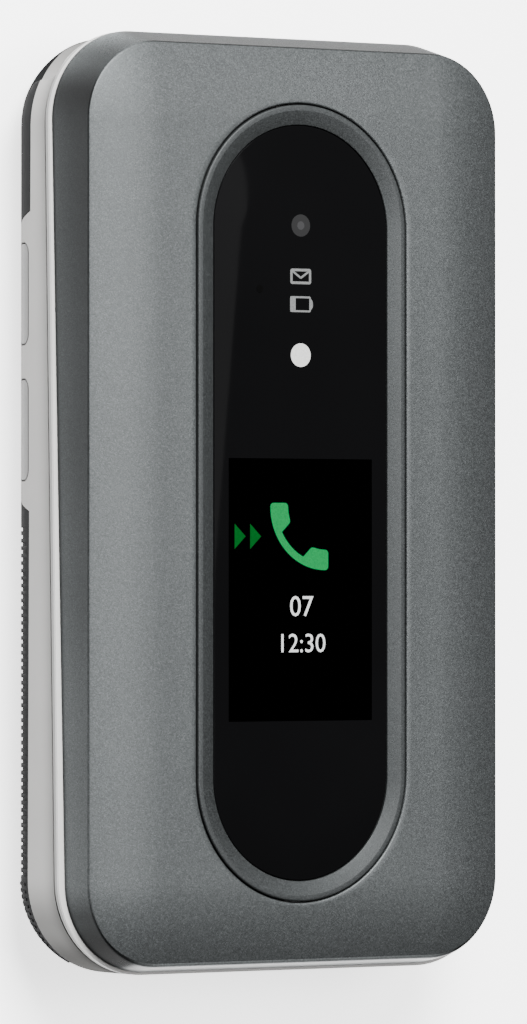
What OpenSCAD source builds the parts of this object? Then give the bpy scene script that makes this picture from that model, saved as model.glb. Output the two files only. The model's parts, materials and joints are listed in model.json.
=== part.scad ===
// Closed flip phone: a metallic-finish lid with an outer display over a keypad base.
// X runs across the phone, Y towards the hinge end and Z out of the lid's face.
// The origin lies under the middle of the back, which rests on Z = 0.

/* [Body] */
// Width of the closed phone
body_w = 60.5; // [58:0.5:62]
// Length of the closed phone
body_l = 109.5; // [108:0.5:114]
// Radius of the outline's corners
corner_r = 11; // [10:0.25:12]
// Radius of the back's rounded edges
back_edge_r = 8; // [7.5:0.25:8.5]

/* [Heights] */
// Height of the seam between back cover and keypad frame, at mid length
seam_z = 7.6; // [7.3:0.1:7.8]
// Height of the keypad frame's rim, at mid length
rim_z = 11.95; // [11.8:0.05:12.2]
// Height of the lid's face where its edge rounding starts
face_edge_z = 17.8; // [17.6:0.1:18.4]
// Rise of the face's rolled border above its edge
border_rise = 1.45; // [1.35:0.05:1.6]
// Rise of the face's middle above the rolled border
crown_rise = 0.45; // [0.3:0.05:0.5]
// Slope of the parting plane, in degrees, the lid being thicker at the hinge
parting_slope = 1.35; // [1:0.05:1.5]
// Slope of the back cover's seam, in degrees
seam_slope = -0.42; // [-0.6:0.02:0]

/* [Walls] */
// Wall of the back cover
cover_wall = 1.2; // [1:0.05:1.4]
// Wall of the keypad frame
frame_wall = 1.6; // [1.4:0.05:1.8]
// Thickness of the keypad deck
deck_t = 1.2; // [1:0.05:1.3]
// Wall of the lid's outer shell, measured at its lower edge
lid_wall = 2.4; // [2.2:0.05:2.6]
// Thickness of the lid's inner plate
lid_plate_t = 1.0; // [0.9:0.05:1.1]
// Air gap between the closed lid and the keypad frame
lid_gap = 0.3; // [0.2:0.05:0.35]
// Height of the light stripe that the lid's inner shell shows
stripe_h = 0.9; // [0.7:0.05:1]
// Depth of the recess in the lid's inner face
recess_h = 0.8; // [0.7:0.05:0.9]
// Slope of the lid's sides: how far the face's edge lies inside the outline
side_lean = 1.3; // [1:0.05:1.4]
// Rounding between the lid's sides and its face
face_edge_r = 0.6; // [0.4:0.1:1.5]

/* [Outer window] */
// Width of the black window
window_w = 24.2; // [23:0.1:25]
// Length of the black window
window_l = 88.2; // [86:0.1:89]
// Thickness of the window
window_t = 0.75; // [0.6:0.05:0.9]
// Height of the window's face
window_z = 18.85; // [18.7:0.05:18.9]
// Width of the dished ring round the window
ring_band = 2.4; // [2.2:0.05:2.6]
// Gap between the ring and the lid's shell
ring_gap = 0.12; // [0.08:0.01:0.15]
// Width of the outer display
outer_display_w = 21; // [20:0.5:22]
// Length of the outer display
outer_display_l = 31.6; // [30:0.2:33]
// Place of the outer display along the phone
outer_display_y = -10.15; // [-11:0.05:-9]
// Place of the camera along the phone
camera_y = 32.4; // [31.5:0.1:33]
// Diameter of the camera's lens
camera_lens_d = 2.7; // [2.4:0.1:3]
// Place of the battery and message lights along the phone
status_y = 24.8; // [24.5:0.1:25]
// Place of the flash along the phone
flash_y = 17.25; // [17:0.05:17.5]
// Diameter of the flash
flash_d = 2.75; // [2.5:0.05:3]

/* [Inner lid] */
// Width of the main display's window
main_window_w = 47; // [46:0.5:48]
// Length of the main display's window
main_window_l = 62; // [60:0.5:63]
// Place of the main display along the phone
main_display_y = -8; // [-9:0.5:-7]
// Place of the earpiece, from the lid's free end
earpiece_inset = 7.5; // [7:0.1:8]

/* [Hinge] */
// Distance of the hinge axis from the phone's end
hinge_inset = 5.2; // [5:0.1:5.4]
// Height of the hinge axis above the parting plane
hinge_rise = 0.5; // [0.4:0.05:0.6]
// Opening angle of the lid
lid_open = 152; // [148:1:153]
// Half width of the middle knuckle
knuckle_half = 15.9; // [15:0.1:16]
// Radius of the middle knuckle
knuckle_r = 3.6; // [3.4:0.05:3.65]
// Side clearance between the knuckle and the lid's ears
ear_gap = 0.3; // [0.2:0.05:0.4]
// Radius of the hinge shafts
shaft_r = 1.5; // [1.3:0.05:1.7]
// Depth of the shafts in the lid's ears
shaft_grip = 5; // [4:0.5:6]
// Radial running clearance of the shafts
shaft_play = 0.05; // [0.03:0.01:0.08]

/* [Keys] */
// Width of a number key
key_w = 15.4; // [14:0.1:15.6]
// Length of a number key
key_l = 10.6; // [9.5:0.1:11]
// Spacing of the number keys across the phone
key_pitch_x = 17; // [16.6:0.1:17.2]
// Spacing of the number keys along the phone
key_pitch_y = 12.2; // [11.8:0.1:12.4]
// Distance of the last row of keys from the phone's free end
last_row_inset = 19.5; // [19:0.1:20]
// Height of the keys above the deck
key_rise = 0.5; // [0.3:0.05:0.5]
// Clearance round each key
key_play = 0.12; // [0.08:0.01:0.15]
// Travel of a key
key_travel = 0.3; // [0.2:0.05:0.35]
// Width of the lip that keeps a key in its opening
key_lip = 0.5; // [0.4:0.05:0.55]
// Place of the navigation ring along the phone
nav_y = 24; // [23.5:0.1:25]
// Length of a volume key
volume_l = 11.6; // [11:0.1:12]
// Place of the upper volume key along the phone
volume_up_y = 24.2; // [23.8:0.1:24.6]
// Place of the lower volume key along the phone
volume_down_y = 8.4; // [8:0.1:8.8]
// Width of a volume key, measured along the rounded side
volume_w = 3.6; // [3.2:0.1:3.8]
// Distance between the middles of the loudspeaker and the assistance key
assist_run = 11.3; // [11.2:0.1:12]
// Diameter of the assistance key
assist_d = 11; // [10:0.1:12]

/* [Inside] */
// Width of the battery
battery_w = 34; // [33:0.5:36]
// Length of the battery
battery_l = 52; // [50:0.5:52]
// Thickness of the battery
battery_t = 4.8; // [4.4:0.1:4.9]
// Thickness of the main circuit board
board_t = 0.9; // [0.8:0.05:1]
// Pitch of the grip ribs on the back cover's sides
rib_pitch = 0.87; // [0.8:0.01:1.2]
// Depth of the grooves between the grip ribs
rib_depth = 0.2; // [0.1:0.02:0.25]
// Width of a headset plug's bore
headset_bore_r = 1.8; // [1.7:0.05:1.85]

/* [Hidden] */
$fn = 64;
far = 80;
fine_gap = 0.1;
half_w = body_w / 2;
half_l = body_l / 2;
hinge_y = half_l - hinge_inset;
hinge_z = rim_z - hinge_y * tan(parting_slope) + hinge_rise;
// The top end of the closed lid sweeps this radius about the hinge
lip_r = 7.5;
lip_play = 0.25;
lip_rise = 0.35;
channel_half = half_w - 1.3;
ear_play = 0.3;
ear_inset = 0.06;
ear_out = half_w - corner_r;
// Heights above the rim plane, which leans with the parting slope
stripe_0 = lid_gap;
stripe_1 = lid_gap + stripe_h;
recess_1 = lid_gap + recess_h;
plate_1 = recess_1 + lid_plate_t;
// Heights below the rim plane
lip_top = deck_t + 0.05;
lip_t = 0.5;
key_bottom = lip_top + lip_t;
dome_top = key_bottom + key_travel + 0.03;
dome_t = 0.2;
board_top = dome_top + dome_t;
board_bottom = board_top + board_t;
// Inside of the base
cavity_end = hinge_y - lip_r + 1.0;
chassis_z0 = 6.4;
chassis_z1 = 7.3;
chassis_gap = 0.2;
seam_gap = 0.1;
board_w = body_w - 2 * frame_wall - 2.4;
board_y0 = -half_l + frame_wall + 0.6;
board_y1 = cavity_end - 1.2;
post_top = [half_w - 6.5, cavity_end - 4.8];
post_low = [half_w - 4.7, -half_l + 8];
post_xy = [
    [-post_top[0], post_top[1]], post_top, [-post_low[0], post_low[1]], post_low
];
post_r = 1.9;
screw_r = 0.8;
screw_head_r = 1.5;
screw_head_t = 0.6;
// Battery, loudspeaker and assistance key follow each other from the free end
battery_inset = 7.5;
battery_end = -half_l + battery_inset + battery_l;
battery_y = battery_end - battery_l / 2;
battery_play = 0.3;
contact_l = 3.4;
contact_half = 5;
contact_z0 = 2.8;
speaker_w = 17;
speaker_l = 8.6;
speaker_top = 4.4;
speaker_y = battery_end + contact_l + battery_play + speaker_l / 2 + 1.2;
speaker_slot_pitch = 2;
assist_y = speaker_y + assist_run;
assist_top = cover_wall + 0.7;
assist_travel = 0.35;
switch_top = 4.4;
card_x = half_w - 16.4;
card_half_w = 5.9;
card_back = 6;
card_reach = 6;
card_wall = 0.4;
card_h = 1.4;
// Posts under the main circuit board, clear of the battery
board_post_r = 1.4;
board_post_x = battery_w / 2 + 3;
board_post_xy = [
    [-18, board_y1 - 4], [18, board_y1 - 4], [-board_post_x, board_y0 + 24], [board_post_x, board_y0 + 24],
    [-board_post_x, 4], [board_post_x, 4]
];
can_half_w = 16;
can_l = 20;
can_y = -14;
motor_r = 2;
motor_l = 9;
motor_y = battery_end + contact_l + 1.6 + motor_l;
// Lid
ceiling_z = 17.3;
ring_w = window_w + 2 * ring_band;
ring_l = window_l + 2 * ring_band;
ring_seat_z = 16.9;
ring_flange_z = 16.3;
window_back_z = window_z - window_t;
lid_post_x = half_w - 6.6;
lid_post_top = half_l - 27;
lid_post_low = -half_l + 10.5;
lid_post_xy = [
    [-lid_post_x, lid_post_top], [lid_post_x, lid_post_top],
    [-lid_post_x, lid_post_low], [lid_post_x, lid_post_low]
];
lid_post_r = 2;
module_t = 1.3;
lid_board_half = 18;
// Keys
last_row_y = -half_l + last_row_inset;
key_round = 2.5;
nav_w = 23;
nav_l = 19;
nav_round = 5;
ok_w = 9;
ok_round = 3;
side_key_w = 11.4;
side_key_l = 8;
side_key_x = half_w - frame_wall - 2.1 - side_key_w / 2;
side_key_pitch = 10.6;
side_angle = 18;
volume_lip = 0.5;
side_axis_x = half_w - back_edge_r;
side_seat = back_edge_r - frame_wall - 0.2;
side_back = side_seat - 0.05 - volume_lip;
pocket_z = 7.1;
bulge_y0 = volume_down_y - volume_l / 2 - 2;
bulge_y1 = volume_up_y + volume_l / 2 + 2;
bulge_z = 3.0;
bulge_run = 2.0;
assist_recess = 0.3;
assist_lip = 1.2;
usb_w = 9;
usb_h = 3.2;
usb_l = 7.3;
usb_wall = 0.3;
usb_tongue_half = 3.3;
usb_tongue_t = 0.7;
socket_gap = 0.3;
mic_x = 9.8;
mic_w = 3.6;
headset_x = -17.5;
headset_w = 5;
headset_h = 4.1;
headset_l = 12;
socket_drop = 3.5;
socket_z = rim_z + (half_l - 4) * tan(parting_slope) - socket_drop;

// ---------- Shared shapes ----------

// A box between two corners, given as a range along each axis
module block(x, y, z) {
    translate([x[0], y[0], z[0]])
        cube([x[1] - x[0], y[1] - y[0], z[1] - z[0]]);
}

// A rectangle with rounded corners, centred on the origin
module rounded_rect(w, l, r) {
    square([w - 2 * r, l], center = true);
    square([w, l - 2 * r], center = true);
    for (sx = [-1, 1], sy = [-1, 1])
        translate([sx * (w / 2 - r), sy * (l / 2 - r)])
            circle(r);
}

// An upright prism over a rounded rectangle
module slab(w, l, r, z0, z1) {
    translate([0, 0, z0])
        linear_extrude(z1 - z0)
            rounded_rect(w, l, r);
}

// An upright prism over the phone's outline, set in by a distance
module outline_slab(inset, z0, z1) {
    slab(body_w - 2 * inset, body_l - 2 * inset, corner_r - inset, z0, z1);
}

// An upright prism over a straight slot with round ends
module stadium(w, l, z0, z1) {
    translate([0, 0, z0])
        linear_extrude(z1 - z0) {
            square([w, l - w], center = true);
            for (sy = [-1, 1])
                translate([0, sy * (l - w) / 2])
                    circle(w / 2);
        }
}

// Carries an edge profile round the outline; x = 0 is the corners' centre
module swept_outline(z0, z1) {
    mid_w = body_w - 2 * corner_r;
    mid_l = body_l - 2 * corner_r;
    for (k = [0:3]) {
        across = (k % 2 == 0) ? mid_w : mid_l;
        along = (k % 2 == 0) ? mid_l : mid_w;
        rotate([0, 0, 90 * k])
            translate([across / 2, along / 2, 0]) {
                rotate_extrude(angle = 90)
                    children();
                rotate([90, 0, 0])
                    linear_extrude(along)
                        children();
            }
    }
    block([-mid_w / 2, mid_w / 2], [-mid_l / 2, mid_l / 2], [z0, z1]);
}

// Carries a profile round a slot with round ends; x is measured from the middle line
module swept_stadium(straight) {
    for (k = [0, 1])
        rotate([0, 0, 180 * k]) {
            translate([0, straight / 2, 0])
                rotate_extrude(angle = 180)
                    children();
            rotate([90, 0, 0])
                translate([0, 0, -straight / 2])
                    linear_extrude(straight)
                        children();
        }
}

// Frame of a plane that leans along the phone
module leaning(z_mid, slope) {
    translate([0, 0, z_mid])
        rotate([-slope, 0, 0])
            children();
}

module on_rim() {
    leaning(rim_z, parting_slope) children();
}

// Everything between two heights above the rim plane
module rim_layer(h0, h1) {
    on_rim() block([-far, far], [-far, far], [h0, h1]);
}

module below_seam(h = 0) {
    leaning(seam_z, seam_slope) block([-far, far], [-far, far], [-far, h]);
}

module above_seam(h = 0) {
    leaning(seam_z, seam_slope) block([-far, far], [-far, far], [h, far]);
}

// Frame of the hinge: its x runs along the axis
module on_hinge() {
    translate([0, hinge_y, hinge_z]) children();
}

// A cylinder along the hinge axis between two places across the phone
module hinge_rod(r, x0, x1) {
    on_hinge()
        translate([x0, 0, 0])
            rotate([0, 90, 0])
                cylinder(r = r, h = x1 - x0);
}

// ---------- Hinge geometry ----------

// One ear: a lobe turned about the hinge axis that follows the outline's corner
module ear_lobe(side, grow) {
    inner_x = knuckle_half + ear_gap - max(grow, 0);
    on_hinge()
        rotate([0, side * 90, 0])
            rotate_extrude() {
                intersection() {
                    translate([hinge_inset - corner_r, ear_out])
                        circle(corner_r + grow);
                    translate([0, ear_out])
                        square([hinge_inset + grow, half_w]);
                }
                translate([0, inner_x])
                    square([hinge_inset + grow, ear_out - inner_x]);
            }
}

// The space that the lid's end needs in the base as it swings open
module lip_channel() {
    intersection() {
        hinge_rod(lip_r + lip_play, -channel_half, channel_half);
        on_hinge()
            rotate([-lid_open, 0, 0])
                block([-far, far], [-far, hinge_inset + lip_play], [lip_rise, far]);
    }
    for (side = [-1, 1])
        ear_lobe(side, ear_play);
}

// ---------- Lid ----------

// Edge profile of the lid: leaning side, rounded edge and rolled border
module lid_profile() {
    side_foot_z = rim_z;
    roll_r = (pow(corner_r - side_lean, 2) + pow(border_rise, 2)) / (2 * border_rise);
    round_z = face_edge_z - face_edge_r;
    lean_run = side_lean * (round_z - side_foot_z) / (face_edge_z - side_foot_z);
    round_x = corner_r - lean_run - face_edge_r + 0.03;
    intersection() {
        polygon([
            [0, side_foot_z - 4], [corner_r, side_foot_z - 4], [corner_r, side_foot_z],
            [corner_r - side_lean, face_edge_z], [corner_r - side_lean, far / 2], [0, far / 2]
        ]);
        translate([0, face_edge_z + border_rise - roll_r])
            circle(roll_r, $fn = 256);
        union() {
            translate([round_x, round_z])
                circle(face_edge_r);
            square([round_x, far / 2]);
            square([far, round_z]);
        }
    }
}

// Crowned middle of the lid's face
module face_crown() {
    dip = 0.05;
    top_z = face_edge_z + border_rise + crown_rise;
    half_x = half_w - corner_r;
    half_y = half_l - corner_r;
    cross_r = (pow(half_x, 2) + pow(crown_rise + dip, 2)) / (2 * (crown_rise + dip));
    long_r = (pow(half_y, 2) + pow(crown_rise + dip, 2)) / (2 * (crown_rise + dip));
    intersection() {
        translate([0, far, top_z - cross_r])
            rotate([90, 0, 0])
                cylinder(r = cross_r, h = 2 * far, $fn = 512);
        translate([-far, 0, top_z - long_r])
            rotate([0, 90, 0])
                cylinder(r = long_r, h = 2 * far, $fn = 2048);
        block([-half_x, half_x], [-half_y, half_y], [face_edge_z - 1, top_z + 1]);
    }
}

module lid_cavity(inset, top) {
    outline_slab(inset, rim_z - 4, top);
}

module lid_posts(r, z0, z1) {
    for (p = lid_post_xy)
        translate([p[0], p[1], z0])
            cylinder(r = r, h = z1 - z0, $fn = 32);
}

module lid_outer_shell() color("#6f7576") {
    difference() {
        union() {
            swept_outline(rim_z - 4, face_edge_z + border_rise)
                lid_profile();
            face_crown();
        }
        lid_cavity(lid_wall, ceiling_z);
        rim_layer(-far, stripe_1);
        hinge_rod(knuckle_r + ear_gap, -knuckle_half - ear_gap, knuckle_half + ear_gap);
        stadium(ring_w + 2 * ring_gap, ring_l + 2 * ring_gap, ring_seat_z, far);
    }
    // Flange that the ring rests on
    difference() {
        stadium(ring_w + 3, ring_l + 3, ring_flange_z, ceiling_z);
        stadium(ring_w + 2 * ring_gap, ring_l + 2 * ring_gap, ring_seat_z, far);
        stadium(ring_w - 2.4, ring_l - 2.4, ring_flange_z - 1, ring_seat_z + 1);
    }
    // Screw posts down to the inner plate
    difference() {
        intersection() {
            lid_posts(lid_post_r, rim_z - 1, ceiling_z + 0.2);
            rim_layer(plate_1, far);
        }
        lid_posts(screw_r, rim_z - 2, ceiling_z - 0.8);
    }
}

// Dished ring whose band falls inwards to the window
module lid_trim_ring() color("#7b8181") {
    outer_r = ring_w / 2;
    inner_r = window_w / 2 + 0.05;
    outer_z = window_z + 0.5;
    swept_stadium(ring_l - ring_w)
        polygon([
            [inner_r - 0.8, ring_seat_z], [outer_r, ring_seat_z], [outer_r, outer_z],
            [outer_r - 0.3, outer_z], [inner_r, window_z - 0.05], [inner_r, window_back_z],
            [inner_r - 0.8, window_back_z]
        ]);
}

module lid_window() color("#101010") {
    stadium(window_w, window_l, window_back_z, window_z);
}

module outer_display() color("#000000") {
    depth = 1.2;
    translate([0, outer_display_y, 0])
        block([-outer_display_w / 2, outer_display_w / 2], [-outer_display_l / 2, outer_display_l / 2],
            [window_back_z - depth, window_back_z]);
}

module camera_module() color("#1c1c1e") {
    body_half = 3.4;
    barrel_r = 2.3;
    barrel_h = 0.9;
    translate([0, camera_y, 0])
        difference() {
            union() {
                intersection() {
                    block([-body_half, body_half], [-body_half, body_half], [12, window_back_z - barrel_h]);
                    translate([0, -camera_y, 0])
                        rim_layer(plate_1 + board_t, far);
                }
                translate([0, 0, window_back_z - barrel_h - 0.1])
                    cylinder(r = barrel_r, h = barrel_h + 0.1, $fn = 48);
            }
            translate([0, 0, window_back_z - 0.5])
                cylinder(d = camera_lens_d, h = 1, $fn = 48);
        }
}

module camera_lens() color("#27272c") {
    translate([0, camera_y, window_back_z - 0.5])
        cylinder(d = camera_lens_d, h = 0.5, $fn = 48);
}

module flash_lamp() color("#f4f4ee") {
    base_half = 1.9;
    translate([0, flash_y, 0]) {
        block([-base_half, base_half], [-base_half, base_half], [window_back_z - 1.1, window_back_z - 0.5]);
        translate([0, 0, window_back_z - 0.5])
            cylinder(d = flash_d, h = 0.5, $fn = 48);
    }
}

module status_light_guide() color("#d8d8d8") {
    half_x = 2.4;
    half_y = 3.2;
    translate([0, status_y, 0])
        block([-half_x, half_x], [-half_y, half_y], [window_back_z - 1, window_back_z]);
}

// Light inner shell: the rim that shows as a stripe, the recessed plate and the hinge ears
module lid_inner_shell() color("#d3d3d1") {
    rim_band = 2;
    notch_half = knuckle_half + ear_gap;
    notch_y = hinge_y - knuckle_r - 0.6;
    difference() {
        union() {
            intersection() {
                outline_slab(0, 5, 20);
                rim_layer(stripe_0, stripe_1);
            }
            intersection() {
                outline_slab(lid_wall + fine_gap, 5, 20);
                rim_layer(stripe_0, plate_1);
            }
            for (side = [-1, 1])
                trimmed_ear(side);
        }
        intersection() {
            outline_slab(rim_band, 0, 25);
            rim_layer(-far, recess_1);
            block([-far, far], [-far, notch_y - 3], [-far, far]);
        }
        block([-notch_half, notch_half], [notch_y, far], [0, 25]);
        main_window_pocket();
        lid_screw_holes();
        earpiece_slots();
        for (side = [-1, 1])
            ear_bore(side);
    }
}

// An ear, cut back above the stripe so that it stays inside the outer shell
module trimmed_ear(side) {
    intersection() {
        ear_lobe(side, -ear_inset);
        union() {
            rim_layer(-far, stripe_1);
            outline_slab(lid_wall + fine_gap, 0, ceiling_z - 0.3);
        }
    }
}

module ear_bore(side) {
    x0 = knuckle_half + ear_gap - 1;
    x1 = knuckle_half + ear_gap + shaft_grip;
    mirror([side < 0 ? 1 : 0, 0, 0])
        hinge_rod(shaft_r, x0, x1);
}

module main_window_pocket() {
    ledge = 1.2;
    on_rim() {
        translate([0, main_display_y, 0])
            slab(main_window_w + 0.2, main_window_l + 0.2, 1.6, -1, recess_1 + 0.7);
        translate([0, main_display_y, 0])
            slab(main_window_w - 2 * ledge, main_window_l - 2 * ledge, 1, 0, plate_1 + 1);
    }
}

module lid_screw_holes() {
    lid_posts(screw_r + 0.1, 5, 20);
    intersection() {
        lid_posts(screw_head_r + 0.1, 5, 20);
        rim_layer(-far, recess_1 + screw_head_t);
    }
}

module earpiece_slots() {
    slot_w = 7;
    slot_l = 0.8;
    slot_pitch = 1.6;
    for (k = [-1:1])
        translate([0, -half_l + earpiece_inset + k * slot_pitch, 5])
            slab(slot_w - abs(k) * 1.4, slot_l, 0.39, 0, 15);
}

module main_display_window() color("#0c0d0f") {
    on_rim()
        translate([0, main_display_y, 0])
            slab(main_window_w, main_window_l, 1.5, recess_1, recess_1 + 0.7);
}

module main_display() color("#1a1d22") {
    on_rim()
        translate([0, main_display_y, 0])
            block([-main_window_w / 2 + 0.7, main_window_w / 2 - 0.7],
                [-main_window_l / 2 + 0.8, main_window_l / 2 - 0.8], [plate_1, plate_1 + module_t]);
}

module earpiece_speaker() color("#3a3a3c") {
    on_rim()
        translate([0, -half_l + earpiece_inset, 0])
            block([-6, 6], [-2.6, 2.6], [plate_1, plate_1 + 1.0]);
}

module lid_circuit_board() color("#1f5a3a") {
    on_rim()
        block([-lid_board_half, lid_board_half], [main_display_y + main_window_l / 2 + 0.9, camera_y + 8.5],
            [plate_1, plate_1 + board_t]);
}

module lid_bumpers() color("#8d8f90") {
    bumper_r = 1.3;
    on_rim()
        for (sx = [-1, 1])
            translate([sx * (half_w - 7), -half_l + 5.5, fine_gap])
                cylinder(r = bumper_r, h = recess_1 - fine_gap, $fn = 32);
}

module lid_screws() color("#9a9da0") {
    intersection() {
        lid_posts(screw_r, 5, ceiling_z - 1);
        rim_layer(recess_1, far);
    }
    intersection() {
        lid_posts(screw_head_r, 5, 20);
        rim_layer(recess_1, recess_1 + screw_head_t);
    }
}

module closing_magnet() color("#b9bbbd") {
    on_rim()
        translate([13, -half_l + earpiece_inset, 0])
            block([-2.5, 2.5], [-1.3, 1.3], [plate_1, plate_1 + 1]);
}

module hinge_cam_shaft() color("#a9acae") {
    hinge_rod(shaft_r, -knuckle_half - ear_gap - shaft_grip, -knuckle_half + 4);
}

module hinge_pin() color("#a9acae") {
    difference() {
        hinge_rod(shaft_r, knuckle_half - 5, knuckle_half + ear_gap + shaft_grip);
        hinge_rod(0.7, knuckle_half - 6, knuckle_half + ear_gap + shaft_grip + 1);
    }
}

// ---------- Base ----------

// Edge profile of the base: quarter round at the back, upright side above it
module base_profile() {
    side_top = rim_z + 4;
    square([corner_r - back_edge_r, side_top]);
    translate([0, back_edge_r])
        square([corner_r, side_top - back_edge_r]);
    intersection() {
        translate([corner_r - back_edge_r, back_edge_r])
            circle(back_edge_r);
        square([corner_r, side_top]);
    }
}

module base_solid() {
    swept_outline(0, rim_z + 4)
        base_profile();
}

// Side view of the frame's bulge round the volume keys
module bulge_zone(grow) {
    rotate([90, 0, 90])
        translate([0, 0, -half_w - 1])
            linear_extrude(back_edge_r + 1)
                polygon([
                    [bulge_y0 - grow, bulge_z - grow], [bulge_y1 + grow, bulge_z - grow],
                    [bulge_y1 + bulge_run + grow, seam_z + 1], [bulge_y0 - bulge_run - grow, seam_z + 1]
                ]);
}

// Frame of the volume keys: x points out of the rounded side, square to it
module on_side() {
    translate([-side_axis_x, 0, back_edge_r])
        rotate([0, 180 - side_angle, 0])
            children();
}

// A cylinder about the axis of the side's rounding
module side_round(r) {
    translate([-side_axis_x, far, back_edge_r])
        rotate([90, 0, 0])
            cylinder(r = r, h = 2 * far);
}

module volume_opening(y, grow) {
    on_side()
        translate([0, y, 0])
            rotate([0, 90, 0])
                slab(volume_w + 2 * grow, volume_l + 2 * grow, 1.2 + grow, side_back, back_edge_r + 1);
}

// Room behind the bulge, so that the volume keys bear on a flat inner face
module bulge_pocket() {
    on_side()
        block([-1, side_seat], [bulge_y0 - bulge_run, bulge_y1 + bulge_run], [-2.6, 5.5]);
}

module at_posts(xy) {
    for (p = xy)
        translate([p[0], p[1], 0])
            children();
}

module keypad_frame() color("#bab9b7") {
    difference() {
        union() {
            difference() {
                intersection() {
                    base_solid();
                    rim_layer(-far, 0);
                    union() {
                        above_seam();
                        bulge_zone(0);
                    }
                }
                frame_pocket();
                bulge_pocket();
                lip_channel();
            }
            frame_posts();
            hinge_rod(knuckle_r, -knuckle_half, knuckle_half);
        }
        key_openings(key_play);
        for (y = [volume_up_y, volume_down_y])
            volume_opening(y, key_play);
        cartridge_bore();
        pin_bore();
        usb_opening();
        headset_opening();
        microphone_hole();
        at_posts(post_xy)
            cylinder(r = screw_r, h = rim_z - 1.4, $fn = 32);
    }
}

// Room under the keypad deck
module frame_pocket() {
    intersection() {
        outline_slab(frame_wall, pocket_z, 25);
        rim_layer(-far, -deck_t);
        block([-far, far], [-far, cavity_end], [0, 25]);
    }
}

module frame_posts() {
    intersection() {
        at_posts(post_xy)
            cylinder(r = post_r, h = 25, $fn = 32);
        rim_layer(-far, -deck_t + 0.2);
        block([-far, far], [-far, far], [chassis_z1, 25]);
    }
}

module cartridge_bore() {
    hinge_rod(2.4, -knuckle_half - 1, -knuckle_half + 13);
}

module pin_bore() {
    hinge_rod(shaft_r + shaft_play, knuckle_half - 5.5, knuckle_half + 1);
    hinge_rod(2.4, 0, knuckle_half - 5.5);
}

// Spring cartridge that holds the lid open or closed
module hinge_cartridge() color("#8f9294") {
    difference() {
        hinge_rod(2.4, -knuckle_half + 0.2, -knuckle_half + 13);
        hinge_rod(shaft_r + shaft_play, -knuckle_half - 1, -knuckle_half + 4.2);
    }
}

// Rolled flexible lead between the two halves
module hinge_flex() color("#b5762f") {
    difference() {
        hinge_rod(2.3, 0.2, knuckle_half - 5.7);
        hinge_rod(1.6, -1, knuckle_half - 5);
    }
}

module back_cover() color("#3f4041") {
    difference() {
        intersection() {
            base_solid();
            below_seam();
        }
        cover_cavity();
        bulge_zone(seam_gap);
        lip_channel();
        grip_grooves();
        translate([0, assist_y, -1])
            cylinder(d = assist_d + 2 * key_play, h = cover_wall + 2);
        for (k = [-1:1])
            translate([0, speaker_y + k * speaker_slot_pitch, -1])
                slab(12, 0.8, 0.39, 0, cover_wall + 2);
    }
}

// Inside of the cover, a wall's thickness in from its outside
module cover_cavity() {
    inner_r = back_edge_r - cover_wall;
    half_x = half_w - cover_wall;
    intersection() {
        union() {
            outline_slab(cover_wall, back_edge_r, 25);
            swept_outline(cover_wall, 25)
                intersection() {
                    translate([corner_r - back_edge_r, back_edge_r])
                        circle(inner_r);
                    square([corner_r, back_edge_r + 0.01]);
                }
            swept_outline(cover_wall, 25)
                translate([0, cover_wall])
                    square([corner_r - back_edge_r, 20]);
        }
        block([-half_x, half_x], [-far, cavity_end], [0, 25]);
    }
}

// Fine grooves that leave the grip ribs between them
module grip_grooves() {
    groove_w = 0.4;
    first_y = -half_l + corner_r + 0.4;
    last_y = bulge_y0 - bulge_run - 1.2;
    groove_count = floor((last_y - first_y) / rib_pitch);
    for (k = [0:groove_count], side = [0, 1])
        mirror([side, 0, 0])
            translate([-side_axis_x, first_y + k * rib_pitch + groove_w, back_edge_r])
                rotate([90, 0, 0])
                    linear_extrude(groove_w)
                        difference() {
                            translate([-back_edge_r - 1, -back_edge_r + 0.8])
                                square([back_edge_r - 2, back_edge_r - 1.7]);
                            circle(back_edge_r - rib_depth);
                        }
}

module rear_chassis() color("#2c2d2f") {
    plate_inset = cover_wall + 0.6;
    bay_w = battery_w + 2 * battery_play;
    bay_y0 = battery_end - battery_l - battery_play;
    bay_y1 = battery_end + contact_l + 0.2;
    difference() {
        union() {
            intersection() {
                outline_slab(plate_inset, chassis_z0, chassis_z1);
                block([-far, far], [-far, cavity_end - chassis_gap], [0, 25]);
            }
            // Battery bay
            difference() {
                block([-bay_w / 2 - 1, bay_w / 2 + 1], [bay_y0 - 1, bay_y1 + 1], [2.4, chassis_z0 + 0.1]);
                block([-bay_w / 2, bay_w / 2], [bay_y0, bay_y1], [0, chassis_z0]);
            }
            board_posts();
            // Seat of the loudspeaker
            block([-speaker_w / 2 + 0.5, speaker_w / 2 - 0.5],
                [speaker_y - speaker_l / 2 + 0.5, speaker_y + speaker_l / 2 - 0.5], [speaker_top, chassis_z0 + 0.1]);
            // Post of the assistance switch
            translate([0, assist_y, switch_top])
                cylinder(r = 3, h = chassis_z0 - switch_top + 0.1);
        }
        at_posts(post_xy) {
            cylinder(r = screw_r + 0.1, h = 20, $fn = 32);
            cylinder(r = screw_head_r + 0.1, h = chassis_z0 + 0.3, $fn = 32);
        }
        bulge_zone(0.3);
    }
    // Rail of the volume keys' board
    intersection() {
        block([-side_axis_x - 2.4, -side_axis_x + 0.6], [bulge_y0, bulge_y1], [4.2, chassis_z1]);
        on_side() block([-far, 2.15], [-far, far], [-far, far]);
    }
}

module board_posts() {
    intersection() {
        at_posts(board_post_xy)
            cylinder(r = board_post_r, h = 25, $fn = 32);
        rim_layer(-far, -board_bottom);
        block([-far, far], [-far, far], [chassis_z1 - 0.1, 25]);
    }
}

module keypad_dome_sheet() color("#c9ccce") {
    on_rim()
        difference() {
            block([-board_w / 2 + 1, board_w / 2 - 1], [last_row_y - 6.5, board_y1 - 0.5], [-board_top, -dome_top]);
            board_post_holes();
        }
}

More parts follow.
